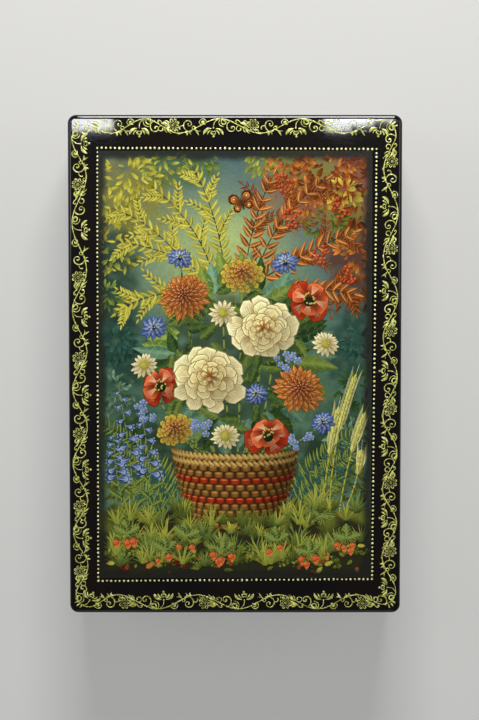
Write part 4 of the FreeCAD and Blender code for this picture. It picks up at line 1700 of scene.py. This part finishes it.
def mossMound(layer, x, y, radius, count, height):
    for index in range(count):
        share = index / count
        angle, reach = math.pi * hand.random(), math.sqrt(hand.random())
        place = (x + radius * reach * math.cos(angle),
                 y + radius * 0.5 * reach * math.sin(angle) - 2 * (1 - share))
        lit = 0.45 + 0.55 * share + 0.35 * reach * math.sin(angle) - 0.15 * math.cos(angle)
        colour = tone[hand.choice(("moss", "mossLight", "leaf"))]
        disc(layer, *place, hand.uniform(*bank["mossSize"]), height + 0.012 * share,
             tinted(colour, 0.4 * lit), tinted(colour, lit))


def butterfly(layer, x, y, size, turned, height, dark, light):
    middle, body = (x, y), toned("shade", "twig")
    for side in (-1, 1):
        for angle, reach, wide in ((0.75, 1.0, 0.8), (-0.5, 0.72, 0.62)):
            way = turned + side * (math.pi / 2 - angle)
            long, wide = size * reach, size * wide
            lay(layer, "broad", middle, stepFrom(middle, way, long), wide, height, shadowOf(dark), dark)
            lay(layer, "broad", middle, stepFrom(middle, way, long * 0.84), wide * 0.72, height + 0.003,
                dark, light)
            disc(layer, *stepFrom(middle, way, long * 0.62), size * 0.1, height + 0.005,
                 *toned("cream", "creamLight"))
    tail, head = stepFrom(middle, turned, -size * 0.42), stepFrom(middle, turned, size * 0.42)
    lay(layer, "hair", tail, head, size * 0.16, height + 0.007, *body)
    brow = stepFrom(middle, turned, size * 0.336)
    for side in (-1, 1):
        feeler = stepFrom(middle, turned + 0.35 * side, size * 0.85)
        lay(layer, "hair", brow, feeler, 0.16, height + 0.006, *body, 0.1 * side)


def strawberry(layer, x, y, size, height):
    lay(layer, "broad", (x, y - size * 0.75), (x, y + size * 0.6), size * 1.1, height,
        *toned("redLight", "redDark"))
    disc(layer, x - size * 0.12, y, size * 0.8, height + 0.002, *toned("red", "redLight"))
    for seed in range(bank["seeds"]):
        u, v = polar(seed * bank["seedTurn"], size * 0.12 * math.sqrt(seed + 0.5))
        disc(layer, x + u, y + v * 1.2 - 0.1, bank["seedSize"], height + 0.004,
             *toned("yellow", "yellowLight"))
    top = y + size * 0.5
    for sepal in range(bank["sepals"]):
        across, up = polar(math.radians(20 + 35 * sepal), size)
        lay(layer, "leaf", (x, top), (x + across * 0.55, top + up * 0.4), size * 0.28, height + 0.006,
            *toned("leafDark", "leafLight"))


def paintBerryPlant(layer, x, y, fruits, size):
    leafLength, leafWidth = bank["berryLeaf"]
    for leaf in range(3):
        angle = math.radians(90 + 62 * (leaf - 1) + hand.uniform(-14, 14))
        veinedLeaf(layer, (x, y), stepFrom((x, y), angle, leafLength), leafWidth,
                   levels["berryLeaves"] + 0.003 * leaf, *toned("leafDark", "leafLight"))
    for fruit in range(fruits):
        angle = math.radians(-155 + 130 * (fruit + 0.5) / fruits + hand.uniform(-12, 12))
        berryX, berryY = stepFrom((x, y), angle, hand.uniform(*bank["berryReach"]))
        lay(layer, "hair", (x, y), (berryX, berryY + 1.2), 0.3, levels["stalks"], *toned("leaf", "leafLight"))
        strawberry(layer, berryX, berryY, size * hand.uniform(0.85, 1.1), levels["fruit"] + 0.01 * fruit)


def paintBank():
    layer = newLayer("picture_bank")
    for mound in bank["mounds"]:
        mossMound(layer, *mound, levels["moss"])
    reach = bank["fallenReach"]
    highest, lowest, crowding = bank["fallenHeights"]
    for index in range(bank["fallenLeaves"]):
        x, y = hand.uniform(-reach, reach), highest + (lowest - highest) * hand.random() ** crowding
        angle, size = anyAngle(), hand.uniform(*bank["fallenSize"])
        u, v = polar(angle, size)
        colour = tone[hand.choice(bank["fallenColours"])]
        veinedLeaf(layer, (x, y), (x + u, y + v * 0.7), size * 0.5,
                   levels["fallenLeaves"] + 0.002 * (index % 4), tinted(colour, 0.45), tinted(colour, 0.95),
                   hand.uniform(-0.2, 0.2), 3)
    for plant in bank["berryPlants"]:
        paintBerryPlant(layer, *plant)
    butterfly(layer, *bank["butterfly"], levels["butterfly"], *toned("rustDark", "rustLight"))
    closeLayer(layer)


paintClouds()
paintSprays()
paintTallStems()
paintFoliage()
paintBasket()
paintFerns()
paintGrass()
paintBouquet()
paintBank()
for plate in plates.values():
    bpy.data.meshes.remove(plate.data)

bpy.data.objects.remove(strokeProfile)
